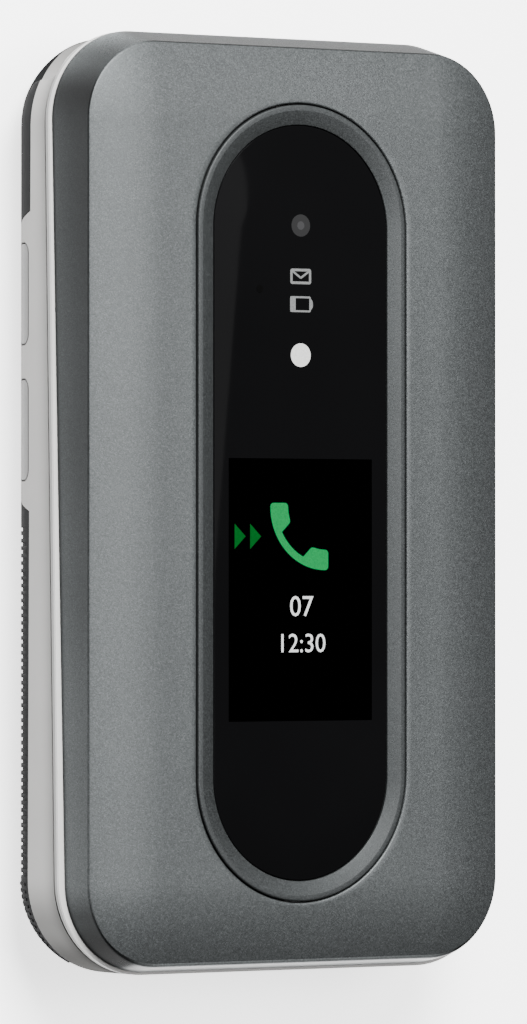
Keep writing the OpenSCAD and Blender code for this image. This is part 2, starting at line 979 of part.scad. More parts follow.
module board_post_holes() {
    at_posts(post_xy)
        translate([0, 0, -10])
            cylinder(r = post_r + 0.3, h = 20, $fn = 32);
}

module main_circuit_board() color("#1d5c3c") {
    on_rim()
        difference() {
            block([-board_w / 2, board_w / 2], [board_y0, board_y1], [-board_bottom, -board_top]);
            board_post_holes();
            for (sx = [-1, 1])
                translate([sx * board_w / 2, board_y0, -10])
                    rotate([0, 0, 45])
                        block([-4.5, 4.5], [-4.5, 4.5], [0, 20]);
            block([-usb_w / 2 - socket_gap, usb_w / 2 + socket_gap],
                [board_y0 - 1, -half_l + usb_l + 0.4], [-10, 10]);
            block([headset_x - headset_w / 2 - socket_gap, headset_x + headset_w / 2 + socket_gap],
                [board_y0 - 1, -half_l + headset_l + 1], [-10, 10]);
        }
}

module shield_can() color("#b4b6b8") {
    can_h = 1.1;
    on_rim()
        block([-can_half_w, can_half_w], [can_y - can_l / 2, can_y + can_l / 2],
            [-board_bottom - can_h, -board_bottom]);
}

module battery() color("#d9d9d6") {
    translate([0, battery_y, cover_wall + 0.1])
        slab(battery_w, battery_l, 1.5, 0, battery_t);
}

module battery_contacts() color("#c8a24a") {
    y0 = battery_end + fine_gap;
    block([-contact_half, contact_half], [y0, y0 + contact_l], [contact_z0, chassis_z0]);
}

// Metal holders of the two slide-in cards
module card_holder() color("#c3c5c7") {
    for (sx = [-1, 1])
        translate([sx * card_x, assist_y, 0])
            difference() {
                block([-card_half_w, card_half_w], [-card_back, card_reach], [chassis_z0 - card_h, chassis_z0]);
                block([-card_half_w + card_wall, card_half_w - card_wall], [-card_back + card_wall, card_reach + 1],
                    [chassis_z0 - card_h + 0.3, chassis_z0 - 0.3]);
            }
}

module loudspeaker() color("#2a2a2c") {
    translate([0, speaker_y, 0])
        slab(speaker_w, speaker_l, 1.5, cover_wall + fine_gap, speaker_top);
}

module microphone() color("#c0c2c4") {
    on_rim()
        block([mic_x - mic_w / 2, mic_x + mic_w / 2], [board_y0, board_y0 + 2.6],
            [-board_bottom - 1, -board_bottom]);
}

module microphone_hole() {
    translate([mic_x, -half_l - 1, socket_z + 1.4])
        rotate([-90, 0, 0])
            cylinder(r = 0.5, h = frame_wall + 2, $fn = 32);
}

// A flat-sided ring section for the charging socket, along the phone
module usb_section(grow, y0, y1) {
    translate([0, y1, socket_z])
        rotate([90, 0, 0])
            linear_extrude(y1 - y0)
                rounded_rect(usb_w + 2 * grow, usb_h + 2 * grow, (usb_h + 2 * grow) / 2 - 0.01);
}

module usb_opening() {
    usb_section(fine_gap, -half_l - 1, -half_l + frame_wall + 1);
}

module usb_socket() color("#b7babc") {
    difference() {
        usb_section(0, -half_l + 0.3, -half_l + usb_l);
        usb_section(-usb_wall, -half_l - 1, -half_l + usb_l - 0.6);
    }
    // Contact tongue
    block([-usb_tongue_half, usb_tongue_half], [-half_l + 1.2, -half_l + usb_l - 0.4],
        [socket_z - usb_tongue_t / 2, socket_z + usb_tongue_t / 2]);
}

module headset_rod(r, y0, y1) {
    translate([headset_x, y0, socket_z])
        rotate([-90, 0, 0])
            cylinder(r = r, h = y1 - y0);
}

module headset_opening() {
    headset_rod(headset_bore_r + 0.5, -half_l - 1, -half_l + frame_wall + 1);
}

module headset_socket() color("#17181a") {
    difference() {
        union() {
            block([headset_x - headset_w / 2, headset_x + headset_w / 2],
                [-half_l + frame_wall + 0.4, -half_l + headset_l],
                [socket_z - headset_h / 2, socket_z + headset_h / 2]);
            headset_rod(headset_bore_r + 0.2, -half_l + 0.5, -half_l + frame_wall + 0.5);
        }
        headset_rod(headset_bore_r, -half_l - 1, -half_l + headset_l - 0.8);
    }
}

module vibration_motor() color("#b0b2b4") {
    translate([half_w - back_edge_r, motor_y, chassis_z0 - motor_r])
        rotate([90, 0, 0])
            cylinder(r = motor_r, h = motor_l, $fn = 48);
}

module antenna() color("#3b3c3e") {
    half_x = half_w - 12;
    block([-half_x, half_x], [-half_l + 3.2, -half_l + 6.2], [3.2, chassis_z0]);
}

// Board and two switches behind the volume keys
module side_key_board() color("#20603f") {
    reach = side_back - key_travel - 0.03;
    on_side() {
        block([2.2, 2.9], [bulge_y0 + 0.5, bulge_y1 - 0.5], [-0.6, 2.2]);
        for (y = [volume_up_y, volume_down_y])
            translate([0, y, 0])
                block([2.8, reach], [-2, 2], [-0.6, 1.6]);
    }
}

module assistance_switch() color("#24262a") {
    translate([0, assist_y, 0]) {
        block([-2.5, 2.5], [-2.5, 2.5], [assist_top + assist_travel + 0.05, switch_top - 0.6]);
        translate([0, 0, switch_top - 0.7])
            cylinder(r = 3.6, h = 0.7);
    }
}

module base_screws() color("#8f9294") {
    at_posts(post_xy) {
        translate([0, 0, chassis_z0 - 0.3])
            cylinder(r = screw_head_r, h = screw_head_t, $fn = 32);
        translate([0, 0, chassis_z0])
            cylinder(r = screw_r, h = rim_z - chassis_z0 - 1.8, $fn = 32);
    }
}

// ---------- Keys ----------

// A key: cap through the deck, with a wider lip below it
module pressed_key(x, y, w, l, r) {
    on_rim()
        translate([x, y, 0]) {
            slab(w, l, r, -key_bottom, key_rise);
            slab(w + 2 * key_lip, l + 2 * key_lip, r + key_lip, -key_bottom, -lip_top);
        }
}

function key_x(i) = (i % 3 - 1) * key_pitch_x;
function key_y(i) = last_row_y + (3 - floor(i / 3)) * key_pitch_y;

module number_key(i) color("#e3e3e1") {
    pressed_key(key_x(i), key_y(i), key_w, key_l, key_round);
}

module key_openings(grow) {
    on_rim() {
        for (i = [0:11])
            translate([key_x(i), key_y(i), 0])
                slab(key_w + 2 * grow, key_l + 2 * grow, key_round + grow, -deck_t - 1, 5);
        translate([0, nav_y, 0])
            slab(nav_w + 2 * grow, nav_l + 2 * grow, nav_round + grow, -deck_t - 1, 5);
        for (sx = [-1, 1], sy = [-1, 1])
            translate([sx * side_key_x, nav_y + sy * side_key_pitch / 2, 0])
                slab(side_key_w + 2 * grow, side_key_l + 2 * grow, key_round + grow, -deck_t - 1, 5);
    }
}

module nav_key() color("#dcdcda") {
    on_rim()
        translate([0, nav_y, 0])
            difference() {
                union() {
                    slab(nav_w, nav_l, nav_round, -key_bottom, key_rise);
                    slab(nav_w + 2 * key_lip, nav_l + 2 * key_lip, nav_round + key_lip, -key_bottom, -lip_top);
                }
                slab(ok_w + 2 * key_play, ok_w + 2 * key_play, ok_round + key_play, -5, 5);
            }
}

module ok_key() color("#e9e9e7") {
    on_rim()
        translate([0, nav_y, 0])
            slab(ok_w, ok_w, ok_round, -key_bottom, key_rise);
}

module side_key(sx, sy, shade) color(shade) {
    pressed_key(sx * side_key_x, nav_y + sy * side_key_pitch / 2, side_key_w, side_key_l, key_round);
}

module volume_key(y) color("#b4b3b1") {
    intersection() {
        volume_opening(y, 0);
        side_round(back_edge_r);
    }
    on_side()
        translate([0, y, 0])
            rotate([0, 90, 0])
                slab(volume_w + 2 * key_lip, volume_l + 2 * key_lip, 1.2 + key_lip,
                    side_back, side_back + volume_lip);
}

module assistance_key() color("#9b9c9c") {
    translate([0, assist_y, 0]) {
        translate([0, 0, assist_recess])
            cylinder(d = assist_d, h = assist_top - assist_recess);
        translate([0, 0, cover_wall + 0.05])
            cylinder(d = assist_d + 2 * assist_lip, h = assist_top - cover_wall - 0.05);
    }
}

// ---------- Assembly ----------

lid_outer_shell();
lid_trim_ring();
lid_window();
outer_display();
camera_module();
camera_lens();
flash_lamp();
status_light_guide();
lid_inner_shell();
main_display_window();
main_display();
earpiece_speaker();
lid_circuit_board();
lid_bumpers();
lid_screws();
closing_magnet();
hinge_cam_shaft();
hinge_pin();
hinge_cartridge();
hinge_flex();
keypad_frame();
back_cover();
rear_chassis();
keypad_dome_sheet();
main_circuit_board();
shield_can();
battery();
battery_contacts();
card_holder();
loudspeaker();
microphone();
usb_socket();
headset_socket();
vibration_motor();
antenna();
side_key_board();
assistance_switch();
base_screws();
number_key(0);  // key_1
number_key(1);  // key_2
number_key(2);  // key_3
number_key(3);  // key_4
number_key(4);  // key_5
number_key(5);  // key_6
number_key(6);  // key_7
number_key(7);  // key_8
number_key(8);  // key_9
number_key(9);  // key_star
number_key(10);  // key_0
number_key(11);  // key_hash
nav_key();
ok_key();
side_key(-1, 1, "#d2d2d0");  // soft_key_left
side_key(1, 1, "#d2d2d0");  // soft_key_right
side_key(-1, -1, "#3f9c5a");  // call_key
side_key(1, -1, "#b8443e");  // end_key
volume_key(volume_up_y);  // volume_up_key
volume_key(volume_down_y);  // volume_down_key
assistance_key();
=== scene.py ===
"""Closed flip phone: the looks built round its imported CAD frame.

X runs across the phone, Y towards the hinge end and Z out of the lid's face.
"""

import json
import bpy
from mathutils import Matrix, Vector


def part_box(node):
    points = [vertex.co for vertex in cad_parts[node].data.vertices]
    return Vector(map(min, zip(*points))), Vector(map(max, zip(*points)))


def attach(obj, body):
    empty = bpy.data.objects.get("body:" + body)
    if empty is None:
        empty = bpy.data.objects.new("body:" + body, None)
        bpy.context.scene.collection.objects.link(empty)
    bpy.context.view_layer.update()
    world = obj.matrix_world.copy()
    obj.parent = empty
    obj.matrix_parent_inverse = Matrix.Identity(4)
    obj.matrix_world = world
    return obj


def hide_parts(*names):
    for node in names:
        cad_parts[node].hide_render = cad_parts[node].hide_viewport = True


bl_info = {
    "name": "Flip phone",
    "version": (1, 0, 0),
    "blender": (4, 5, 0),
    "location": "3D View > Sidebar > Phone",
    "description": "Builds the looks of a closed flip phone on its CAD frame",
    "category": "Add Mesh",
}

import bmesh
import bpy
import numpy as np
from mathutils import Matrix, Vector

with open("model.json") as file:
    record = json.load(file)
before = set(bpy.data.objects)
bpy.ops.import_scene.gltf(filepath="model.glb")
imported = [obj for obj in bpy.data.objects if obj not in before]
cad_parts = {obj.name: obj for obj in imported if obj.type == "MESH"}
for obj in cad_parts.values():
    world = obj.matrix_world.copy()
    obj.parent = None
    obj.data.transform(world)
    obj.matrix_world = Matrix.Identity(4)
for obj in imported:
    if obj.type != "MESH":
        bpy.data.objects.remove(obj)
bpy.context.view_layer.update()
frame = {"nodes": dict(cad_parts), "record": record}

MM = 0.001

# Rounding of the base's sides and the volume keys on them, in metres
SIDE_AXIS = (0.02225, 0.008)
SIDE_ANGLE = np.radians(18)
KEY_MIDDLE = 0.0163
KEY_STEP = 0.0079
KEY_HALF = (0.0018, 0.0058)
KEY_CORNER = 0.0012
# The volume keys' dark line is a painted shadow for the gap round each key
KEY_GAP_SHADOW = 0.00022

# The floor lies a little under the back, in metres
FLOOR_Z = -2e-5

# Outline of the base, in millimetres
BASE_HALF = (30.25, 54.75)
BASE_CORNER = 11.0

# Levels at places along the outline (see Paint.round_outline): the two ends, then what lies between.
# The colour levels are painted reflections and shade; SIDE_COAT is the lacquer's weight at such
# places
SIDE_PAINTED_LIGHT = [
    (0.0, 3.0), (1.0, 0.32), (0.03, 1.5), (0.07, 0.26), (0.12, 0.17), (0.18, 0.5), (0.25, 1.35),
    (0.34, 1.1), (0.45, 0.72), (0.56, 0.55), (0.72, 0.40), (0.80, 0.18), (0.88, 0.8), (0.96, 1.9),
]
SIDE_COAT = [(0.0, 1.0), (1.0, 0.05), (0.03, 0.9), (0.055, 0.05)]
FRAME_PAINTED_LIGHT = [
    (0.0, 1.1), (1.0, 1.0), (0.045, 0.42), (0.10, 0.34), (0.17, 0.6), (0.26, 1.0), (0.9, 1.0),
]

# Bands that the finishes paint by place, in metres: FRAME_SHADE and RIM_SHADE are the depths of
# painted shade under and over the parting plane; the cut and skin bands mark where the cover shows
# light plastic
FRAME_SHADE = 0.0028
RIM_SHADE = 0.0008
CUT_Y = 0.0445
CUT_Z = 0.003
SKIN_END = 0.0528
SKIN_FALL = 0.0035
SKIN = (0.00005, 0.00055)

# Small roundings and offsets of the lid's pieces, in millimetres
LIP = 0.22
FOOT_ROUND = 0.16
SIGN_THICK = 0.02
LEGEND_THICK = 0.03
LEGEND_BOLD = 0.13
LEGEND_RISE = 0.515


# ---------- Settings ----------


class PhoneLidSettings(bpy.types.PropertyGroup):
    """Sizes of the lid's face, in millimetres unless they say otherwise"""

    width: bpy.props.FloatProperty(name="Width", description="Width of the shell", default=60.0)
    length: bpy.props.FloatProperty(
        name="Length", description="Length of the outline", default=109.5
    )
    corner: bpy.props.FloatProperty(
        name="Corner", description="Radius of the shell's corners", default=10.75
    )
    rim_z: bpy.props.FloatProperty(
        name="Rim", description="Height of the parting plane at mid length", default=11.95
    )
    rim_slope: bpy.props.FloatProperty(
        name="Slope", description="Fall of the parting plane per length", default=0.023566
    )
    foot: bpy.props.FloatProperty(
        name="Foot", description="Height of the shell's lower edge over the rim", default=1.2
    )
    lean: bpy.props.FloatProperty(
        name="Lean", description="How far the face's edge lies inside the outline", default=1.3
    )
    end_lean: bpy.props.FloatProperty(
        name="End lean", description="The same at the free end", default=0.85
    )
    edge_z: bpy.props.FloatProperty(
        name="Edge", description="Height of the face's edge", default=17.8
    )
    edge_round: bpy.props.FloatProperty(
        name="Edge round", description="Rounding of the face's edge", default=0.45
    )
    border: bpy.props.FloatProperty(
        name="Border", description="Rise of the rolled border", default=1.42
    )
    crown: bpy.props.FloatProperty(
        name="Crown", description="Rise of the middle over the border", default=0.42
    )
    wall: bpy.props.FloatProperty(name="Wall", description="Thickness of the shell", default=1.1)
    ring_w: bpy.props.FloatProperty(
        name="Ring width", description="Outer width of the trim ring", default=29.0
    )
    ring_l: bpy.props.FloatProperty(
        name="Ring length", description="Outer length of the trim ring", default=93.0
    )
    ring_gap: bpy.props.FloatProperty(
        name="Ring gap", description="Gap between ring and shell", default=0.16
    )
    window_w: bpy.props.FloatProperty(
        name="Window width", description="Width of the window", default=24.2
    )
    window_l: bpy.props.FloatProperty(
        name="Window length", description="Length of the window", default=88.2
    )
    window_z: bpy.props.FloatProperty(
        name="Window height", description="Height of the window's face", default=18.85
    )
    paint: bpy.props.FloatVectorProperty(
        name="Paint", description="Colour of the metallic paint",
        subtype="COLOR", size=3, default=(0.0350, 0.0377, 0.0384)
    )


class PhoneDisplaySettings(bpy.types.PropertyGroup):
    """What shows behind the lid's window, in millimetres"""

    camera_y: bpy.props.FloatProperty(
        name="Camera", description="Place of the camera", default=32.4
    )
    camera_d: bpy.props.FloatProperty(
        name="Camera width", description="Diameter of the camera's lens", default=2.6
    )
    flash_y: bpy.props.FloatProperty(name="Flash", description="Place of the flash", default=17.25)
    flash_d: bpy.props.FloatProperty(
        name="Flash width", description="Diameter of the flash", default=2.75
    )
    message_y: bpy.props.FloatProperty(
        name="Message", description="Place of the message light", default=26.45
    )
    charge_y: bpy.props.FloatProperty(
        name="Charge", description="Place of the charge light", default=23.2
    )
    screen_y: bpy.props.FloatProperty(
        name="Screen", description="Place of the outer display", default=-10.15
    )
    screen_w: bpy.props.FloatProperty(
        name="Screen width", description="Width of the lit area", default=20.0
    )
    screen_l: bpy.props.FloatProperty(
        name="Screen length", description="Length of the lit area", default=30.6
    )
    call_y: bpy.props.FloatProperty(
        name="Call", description="Place of the handset sign", default=-3.94
    )
    green: bpy.props.FloatVectorProperty(
        name="Green", description="Colour of the handset sign",
        subtype="COLOR", size=3, default=(0.0, 0.44, 0.11)
    )
    dark_green: bpy.props.FloatVectorProperty(
        name="Dark green", description="Colour of the arrows",
        subtype="COLOR", size=3, default=(0.0, 0.15, 0.022)
    )
    white: bpy.props.FloatVectorProperty(
        name="White", description="Colour of the lit signs",
        subtype="COLOR", size=3, default=(0.8, 0.82, 0.82)
    )


class PhoneBaseSettings(bpy.types.PropertyGroup):
    """Softness of the edges of the base and its keys, in millimetres"""

    edge: bpy.props.FloatProperty(
        name="Edge", description="Rounding of the shells' edges", default=0.14
    )
    key_edge: bpy.props.FloatProperty(
        name="Key edge", description="Rounding of the keys' edges", default=0.3
    )
    light: bpy.props.FloatVectorProperty(
        name="Light plastic", description="Colour of the keypad frame",
        subtype="COLOR", size=3, default=(0.185, 0.183, 0.179)
    )
    dark: bpy.props.FloatVectorProperty(
        name="Dark plastic", description="Colour of the back cover",
        subtype="COLOR", size=3, default=(0.0078, 0.008, 0.0082)
    )
    keys: bpy.props.FloatVectorProperty(
        name="Keys", description="Colour of the keys",
        subtype="COLOR", size=3, default=(0.58, 0.58, 0.57)
    )


class PhoneStageSettings(bpy.types.PropertyGroup):
    """Floor, lights and camera"""

    floor: bpy.props.FloatProperty(
        name="Floor", description="Half width of the floor", default=3.0, unit="LENGTH"
    )
    key_power: bpy.props.FloatProperty(
        name="Key light", description="Power of the key light, in watts", default=42.0
    )
    fill_power: bpy.props.FloatProperty(
        name="Top light", description="Power of the light above, in watts", default=13.0
    )
    sky: bpy.props.FloatProperty(name="Sky", description="Strength of the even light", default=0.25)
    glow: bpy.props.FloatProperty(
        name="Floor glow", description="Light that the paper lets through", default=2.3
    )
    focal: bpy.props.FloatProperty(
        name="Focal length", description="Of the camera's lens, in mm", default=254.2
    )


# ---------- Shader maths ----------


class Sock:
    """A shader value with arithmetic: each operation adds one Math node"""

    def __init__(self, tree, out):
        self.tree = tree
        self.out = out

    def _math(self, op, *args):
        node = self.tree.nodes.new("ShaderNodeMath")
        node.operation = op
        for place, arg in zip(node.inputs, args):
            if isinstance(arg, Sock):
                self.tree.links.new(arg.out, place)
            else:
                place.default_value = arg
        return Sock(self.tree, node.outputs[0])

    def __add__(self, other):
        return self._math("ADD", self, other)

    __radd__ = __add__

    def __mul__(self, other):
        return self._math("MULTIPLY", self, other)

    __rmul__ = __mul__

    def __sub__(self, other):
        return self._math("SUBTRACT", self, other)

    def __rsub__(self, other):
        return self._math("SUBTRACT", other, self)

    def __truediv__(self, other):
        return self._math("DIVIDE", self, other)

    def __rtruediv__(self, other):
        return self._math("DIVIDE", other, self)

    def __pow__(self, other):
        return self._math("POWER", self, other)

    def above(self, edge):
        return self._math("GREATER_THAN", self, edge)

    def least(self, floor):
        return self._math("MAXIMUM", self, floor)

    def size(self):
        return self._math("ABSOLUTE", self)

    def sign(self):
        return self._math("SIGN", self)

    def angle(self, along):
        return self._math("ARCTAN2", self, along)

    def clamped(self):
        held = self._math("ADD", self, 0.0)
        held.out.node.use_clamp = True
        return held


class Paint:
    """One material: a Principled shader and the nodes that feed it"""

    def __init__(self, name, **values):
        self.mat = bpy.data.materials.new(name)
        self.mat.use_nodes = True
        self.tree = self.mat.node_tree
        self.shader = self.tree.nodes["Principled BSDF"]
        for key, value in values.items():
            self.shader.inputs[key.replace("_", " ")].default_value = value

    def node(self, kind, settings=None, **inputs):
        """Any other node: its type, its settings and its inputs"""
        node = self.tree.nodes.new(kind)
        for key, value in (settings or {}).items():
            if key == "stops":
                self.set_stops(node.color_ramp, value)
            else:
                setattr(node, key, value)
        for key, value in inputs.items():
            place = node.inputs[key.replace("_", " ")]
            if isinstance(value, Sock):
                self.tree.links.new(value.out, place)
            else:
                place.default_value = value
        return node

    def set_stops(self, ramp, stops):
        """Greys at their places along a ramp"""
        ramp.interpolation = "EASE"
        for k, (place, grey) in enumerate(stops):
            stop = ramp.elements[k] if k < 2 else ramp.elements.new(place)
            stop.position = place
            stop.color = (grey, grey, grey, 1)

    def sock(self, node, output):
        return Sock(self.tree, node.outputs[output])

    def levels(self, stops, place):
        """Grey read off a ramp"""
        return self.sock(self.node("ShaderNodeValToRGB", {"stops": stops}, Fac=place), "Color")

    def axes(self):
        """X, Y and Z of the place in metres"""
        node = self.node("ShaderNodeSeparateXYZ", Vector=self.place)
        return [self.sock(node, axis) for axis in "XYZ"]

    def scaled(self, colour, level):
        """Colour times a level"""
        peak = max(colour)
        return self.mixed((0, 0, 0, 1), shade(colour, 1 / peak), (level * peak).clamped())

    def key_distance(self):
        """Distance of a place on the left side from the rectangle inside a volume key's outline"""
        x, y, z = self.axes()
        across = (x + SIDE_AXIS[0]) * np.sin(SIDE_ANGLE) - (z - SIDE_AXIS[1]) * np.cos(SIDE_ANGLE)
        along = (y - KEY_MIDDLE).size() - KEY_STEP
        past = (across.size() - (KEY_HALF[0] - KEY_CORNER)).least(0.0)
        over = (along.size() - (KEY_HALF[1] - KEY_CORNER)).least(0.0)
        return (past * past + over * over) ** 0.5 + x.above(-SIDE_AXIS[0])

    def round_outline(self, s):
        """Place along the outline and distance from the corners' rectangle.

        The place is 0 at the free end, 1/4 and 3/4 where the corners meet the long side and 1 at the
        hinge end.
        """
        x, y, _ = self.axes()
        half_x, half_y = (s.width / 2 - s.corner) * MM, (s.length / 2 - s.corner) * MM
        past_x, past_y = (x.size() - half_x).least(1e-6), (y.size() - half_y).least(0.0)
        turn = past_y.angle(past_x) * (0.5 / np.pi)
        straight = (y.size() - past_y) * (0.25 / half_y)
        reach = (past_x * past_x + past_y * past_y) ** 0.5
        return y.sign() * (turn + straight) + 0.5, reach

    @property
    def place(self):
        """Object coordinates in metres"""
        return self.sock(self.node("ShaderNodeTexCoord"), "Object")

    def noise(self, scale, detail=2.0, rough=0.5):
        """Noise about 0.5 with `scale` waves per metre"""
        inputs = {"Vector": self.place, "Scale": scale, "Detail": detail, "Roughness": rough}
        return self.sock(self.node("ShaderNodeTexNoise", **inputs), "Fac")

    def cells(self, scale):
        """Random colour of each cell, `scale` cells per metre"""
        return self.sock(self.node("ShaderNodeTexVoronoi", Vector=self.place, Scale=scale), "Color")

    def mixed(self, a, b, share):
        """Colour between a and b"""
        node = self.node("ShaderNodeMix", {"data_type": "RGBA"})
        for index, value in ((0, share), (6, a), (7, b)):
            if isinstance(value, Sock):
                self.tree.links.new(value.out, node.inputs[index])
            else:
                node.inputs[index].default_value = value
        return Sock(self.tree, node.outputs[2])

    def feed(self, **inputs):
        for key, value in inputs.items():
            self.tree.links.new(value.out, self.shader.inputs[key.replace("_", " ")])

    def bump(self, height, distance, strength=1.0):
        """Normal from a height: `distance` is its full height in metres"""
        node = self.node("ShaderNodeBump", Height=height, Distance=distance, Strength=strength)
        self.feed(Normal=self.sock(node, "Normal"))


def toned(colour, share):
    """Colour scaled by a share"""
    return tuple(share * c for c in colour)


def shade(colour, share):
    """Colour scaled by a share, with alpha"""
    return tuple(min(1.0, c * share) for c in colour) + (1.0,)


def flake_paint(name, colour, rough=0.5, lid=None):
    """Metallic paint: fine flakes tilt and shine each for itself.

    With the lid's settings, its sides take painted reflections and shade along the outline, lighter
    towards their foot, and their lacquer changes along it.
    """
    tint = (0.25, 0.26, 0.26, 1)
    p = Paint(name, Metallic=0.85, Specular_Tint=tint, Coat_Weight=0.05, Coat_Roughness=0.3)
    flake = p.sock(p.node("ShaderNodeSeparateColor", Color=p.cells(9000.0)), "Red")
    spark = flake.above(0.93)
    tone = (flake - 0.5) * 0.60 + p.noise(60.0) * 0.10 + spark * 0.40 + 0.45
    level = tone.clamped() * 0.9 + 0.55
    if lid is not None:
        height = p.axes()[2]
        along, _ = p.round_outline(lid)
        painted_light = p.levels(SIDE_PAINTED_LIGHT, along)
        depth = ((lid.edge_z * MM - height) / ((lid.edge_z - lid.rim_z) * MM)).clamped()
        face = height.above((lid.edge_z + 0.04) * MM)
        # The sides' colour is painted reflection and shade: set along the outline and lighter
        # towards the foot
        level = level * (face + (1 - face) * painted_light * (0.72 + depth * depth * 0.9))
        p.feed(Coat_Weight=p.levels(SIDE_COAT, along) * (1 - face) + 0.03)
    p.feed(Base_Color=p.scaled(colour, level))
    p.feed(Roughness=rough + (flake - 0.5) * 0.10 + p.noise(90.0) * 0.04)
    p.bump(flake + p.noise(6500.0) * 0.6, 0.000006)
    return p.mat


def plastic(name, colour, rough=0.42, grain=3500.0, depth=0.000008, spread=0.07, gloss=0.45,
            outer=None, rim=None):
    """Moulded plastic: a fine eroded grain and slightly uneven gloss.

    `outer`, the lid's settings, paints shade and reflections on the sides along the outline, a
    painted shade that deepens towards the parting plane, and a painted shadow line round the volume
    keys;
    `rim`, the same settings, paints shade on a narrow band over that plane.
    """
    p = Paint(name, Metallic=0.0)
    p.shader.inputs["Specular IOR Level"].default_value = gloss
    soft = p.noise(140.0, 3.0)
    level = soft * (2 * spread) + (1 - spread)
    if outer is not None:
        along, reach = p.round_outline(outer)
        _, y, z = p.axes()
        under = ((outer.rim_z * MM - y * outer.rim_slope - z) / FRAME_SHADE).clamped()
        painted_light = p.levels(FRAME_PAINTED_LIGHT, along)
        side = reach.above((outer.corner - 0.6) * MM)
        # Painted shade and reflections on the frame's sides along the outline, deepest at the
        # parting plane
        level = level * (1 - side * (1 - painted_light * (0.6 + under * (0.8 - under * 0.4))))
        # Painted shadow line round each volume key, standing for the gap's shade
        level = level * (1 - 0.55 * (1 - p.key_distance().above(KEY_CORNER + KEY_GAP_SHADOW)))
    if rim is not None:
        _, reach = p.round_outline(rim)
        _, y, z = p.axes()
        # Painted shade on a narrow band over the parting plane, at the stripe's foot
        low = (rim.rim_z * MM - y * rim.rim_slope + RIM_SHADE - z).above(0.0)
        level = level * (1 - low * reach.above((rim.corner - 0.8) * MM) * 0.6)
    p.feed(Base_Color=p.scaled(colour, level))
    p.feed(Roughness=rough + (soft - 0.5) * 0.14 + (p.noise(grain) - 0.5) * 0.1)
    p.bump(p.noise(grain, 3.0, 0.6), depth)
    return p.mat


def cover_plastic(name, colour, cut, s):
    """Back cover: dark and matt outside, light where the hinge's channel cuts its corners"""
    p = Paint(name, Metallic=0.0)
    p.shader.inputs["Specular IOR Level"].default_value = 0.04
    soft = p.noise(140.0, 3.0)
    _, reach = p.round_outline(s)
    _, y, z = p.axes()
    out = reach - (s.corner * MM - SIDE_AXIS[1])
    skin = ((SKIN_END - y) / SKIN_FALL).clamped() * SKIN[1] + SKIN[0]
    rise = z - SIDE_AXIS[1]
    inside = (SIDE_AXIS[1] - skin).above((out * out + rise * rise) ** 0.5)
    corner = inside * y.above(CUT_Y) * z.above(CUT_Z)
    level = soft * 0.14 + 0.93
    p.feed(Base_Color=p.mixed(p.scaled(colour, level), p.scaled(cut, level), corner))
    p.feed(Roughness=0.75 + (soft - 0.5) * 0.14)
    p.bump(p.noise(2600.0, 3.0, 0.6), 0.00002)
    return p.mat


def glass(name, colour, rough=0.035):
    """Black-backed polished window with a faint unevenness"""
    p = Paint(name, Metallic=0.0)
    p.shader.inputs["Specular IOR Level"].default_value = 0.004
    soft = p.noise(45.0)
    p.feed(Base_Color=p.mixed(shade(colour, 0.8), shade(colour, 1.2), soft))
    p.feed(Roughness=rough + soft * 0.03)
    return p.mat


def lit(name, colour, strength, tint=0.12):
    """A sign that gives off light through a fine dot grid"""
    p = Paint(name, Metallic=0.0, Roughness=0.5, Emission_Strength=strength)
    p.shader.inputs["Specular IOR Level"].default_value = 0.0
    dots = p.sock(p.node("ShaderNodeSeparateColor", Color=p.cells(8000.0)), "Green")
    tone = p.mixed(shade(colour, 1 - tint), shade(colour, 1.0), dots)
    p.feed(Base_Color=p.mixed(shade(colour, 0.01), shade(colour, 0.03), dots), Emission_Color=tone)
    return p.mat


def metal(name, colour, rough=0.32, brush=(300.0, 9000.0, 300.0)):
    """Brushed or rolled metal: noise drawn out along one way"""
    p = Paint(name, Metallic=1.0)
    drawn = p.node("ShaderNodeMapping", Vector=p.place, Scale=brush)
    noise = p.node("ShaderNodeTexNoise", Vector=p.sock(drawn, "Vector"), Scale=1.0, Detail=3.0)
    lines = p.sock(noise, "Fac")
    p.feed(Base_Color=p.mixed(shade(colour, 0.85), shade(colour, 1.15), lines))
    p.feed(Roughness=rough + (lines - 0.5) * 0.2)
    p.bump(lines, 0.000004)
    return p.mat


def board(name):
    """Circuit board: solder resist over faint tracks"""
    p = Paint(name, Metallic=0.0, Roughness=0.35)
    edges = p.node(
        "ShaderNodeTexVoronoi", {"feature": "DISTANCE_TO_EDGE"}, Vector=p.place, Scale=700.0)
    tracks = p.sock(edges, "Distance")
    p.feed(Base_Color=p.mixed((0.012, 0.10, 0.05, 1), (0.02, 0.20, 0.10, 1), tracks.above(0.06)))
    p.bump(tracks.above(0.06), 0.00003)
    return p.mat


# ---------- Surfaces ----------


def add_mesh(name, verts, faces, mat, smooth=True):
    """A mesh object with its vertices in metres"""
    mesh = bpy.data.meshes.new(name)
    mesh.from_pydata(np.asarray(verts, float).tolist(), [], [tuple(map(int, f)) for f in faces])
    mesh.materials.append(mat)
    mesh.polygons.foreach_set("use_smooth", [smooth] * len(mesh.polygons))
    obj = bpy.data.objects.new(name, mesh)
    bpy.context.scene.collection.objects.link(obj)
    return obj


def weld(obj, angle=0.6, reach=1e-7):
    """Joins coincident vertices, turns all faces outward and keeps edges sharper than the angle"""
    bm = bmesh.new()
    bm.from_mesh(obj.data)
    bmesh.ops.remove_doubles(bm, verts=bm.verts, dist=reach)
    bmesh.ops.dissolve_degenerate(bm, edges=bm.edges, dist=reach)
    bmesh.ops.recalc_face_normals(bm, faces=bm.faces)
    bm.to_mesh(obj.data)
    bm.free()
    obj.data.set_sharp_from_angle(angle=angle)
    return obj


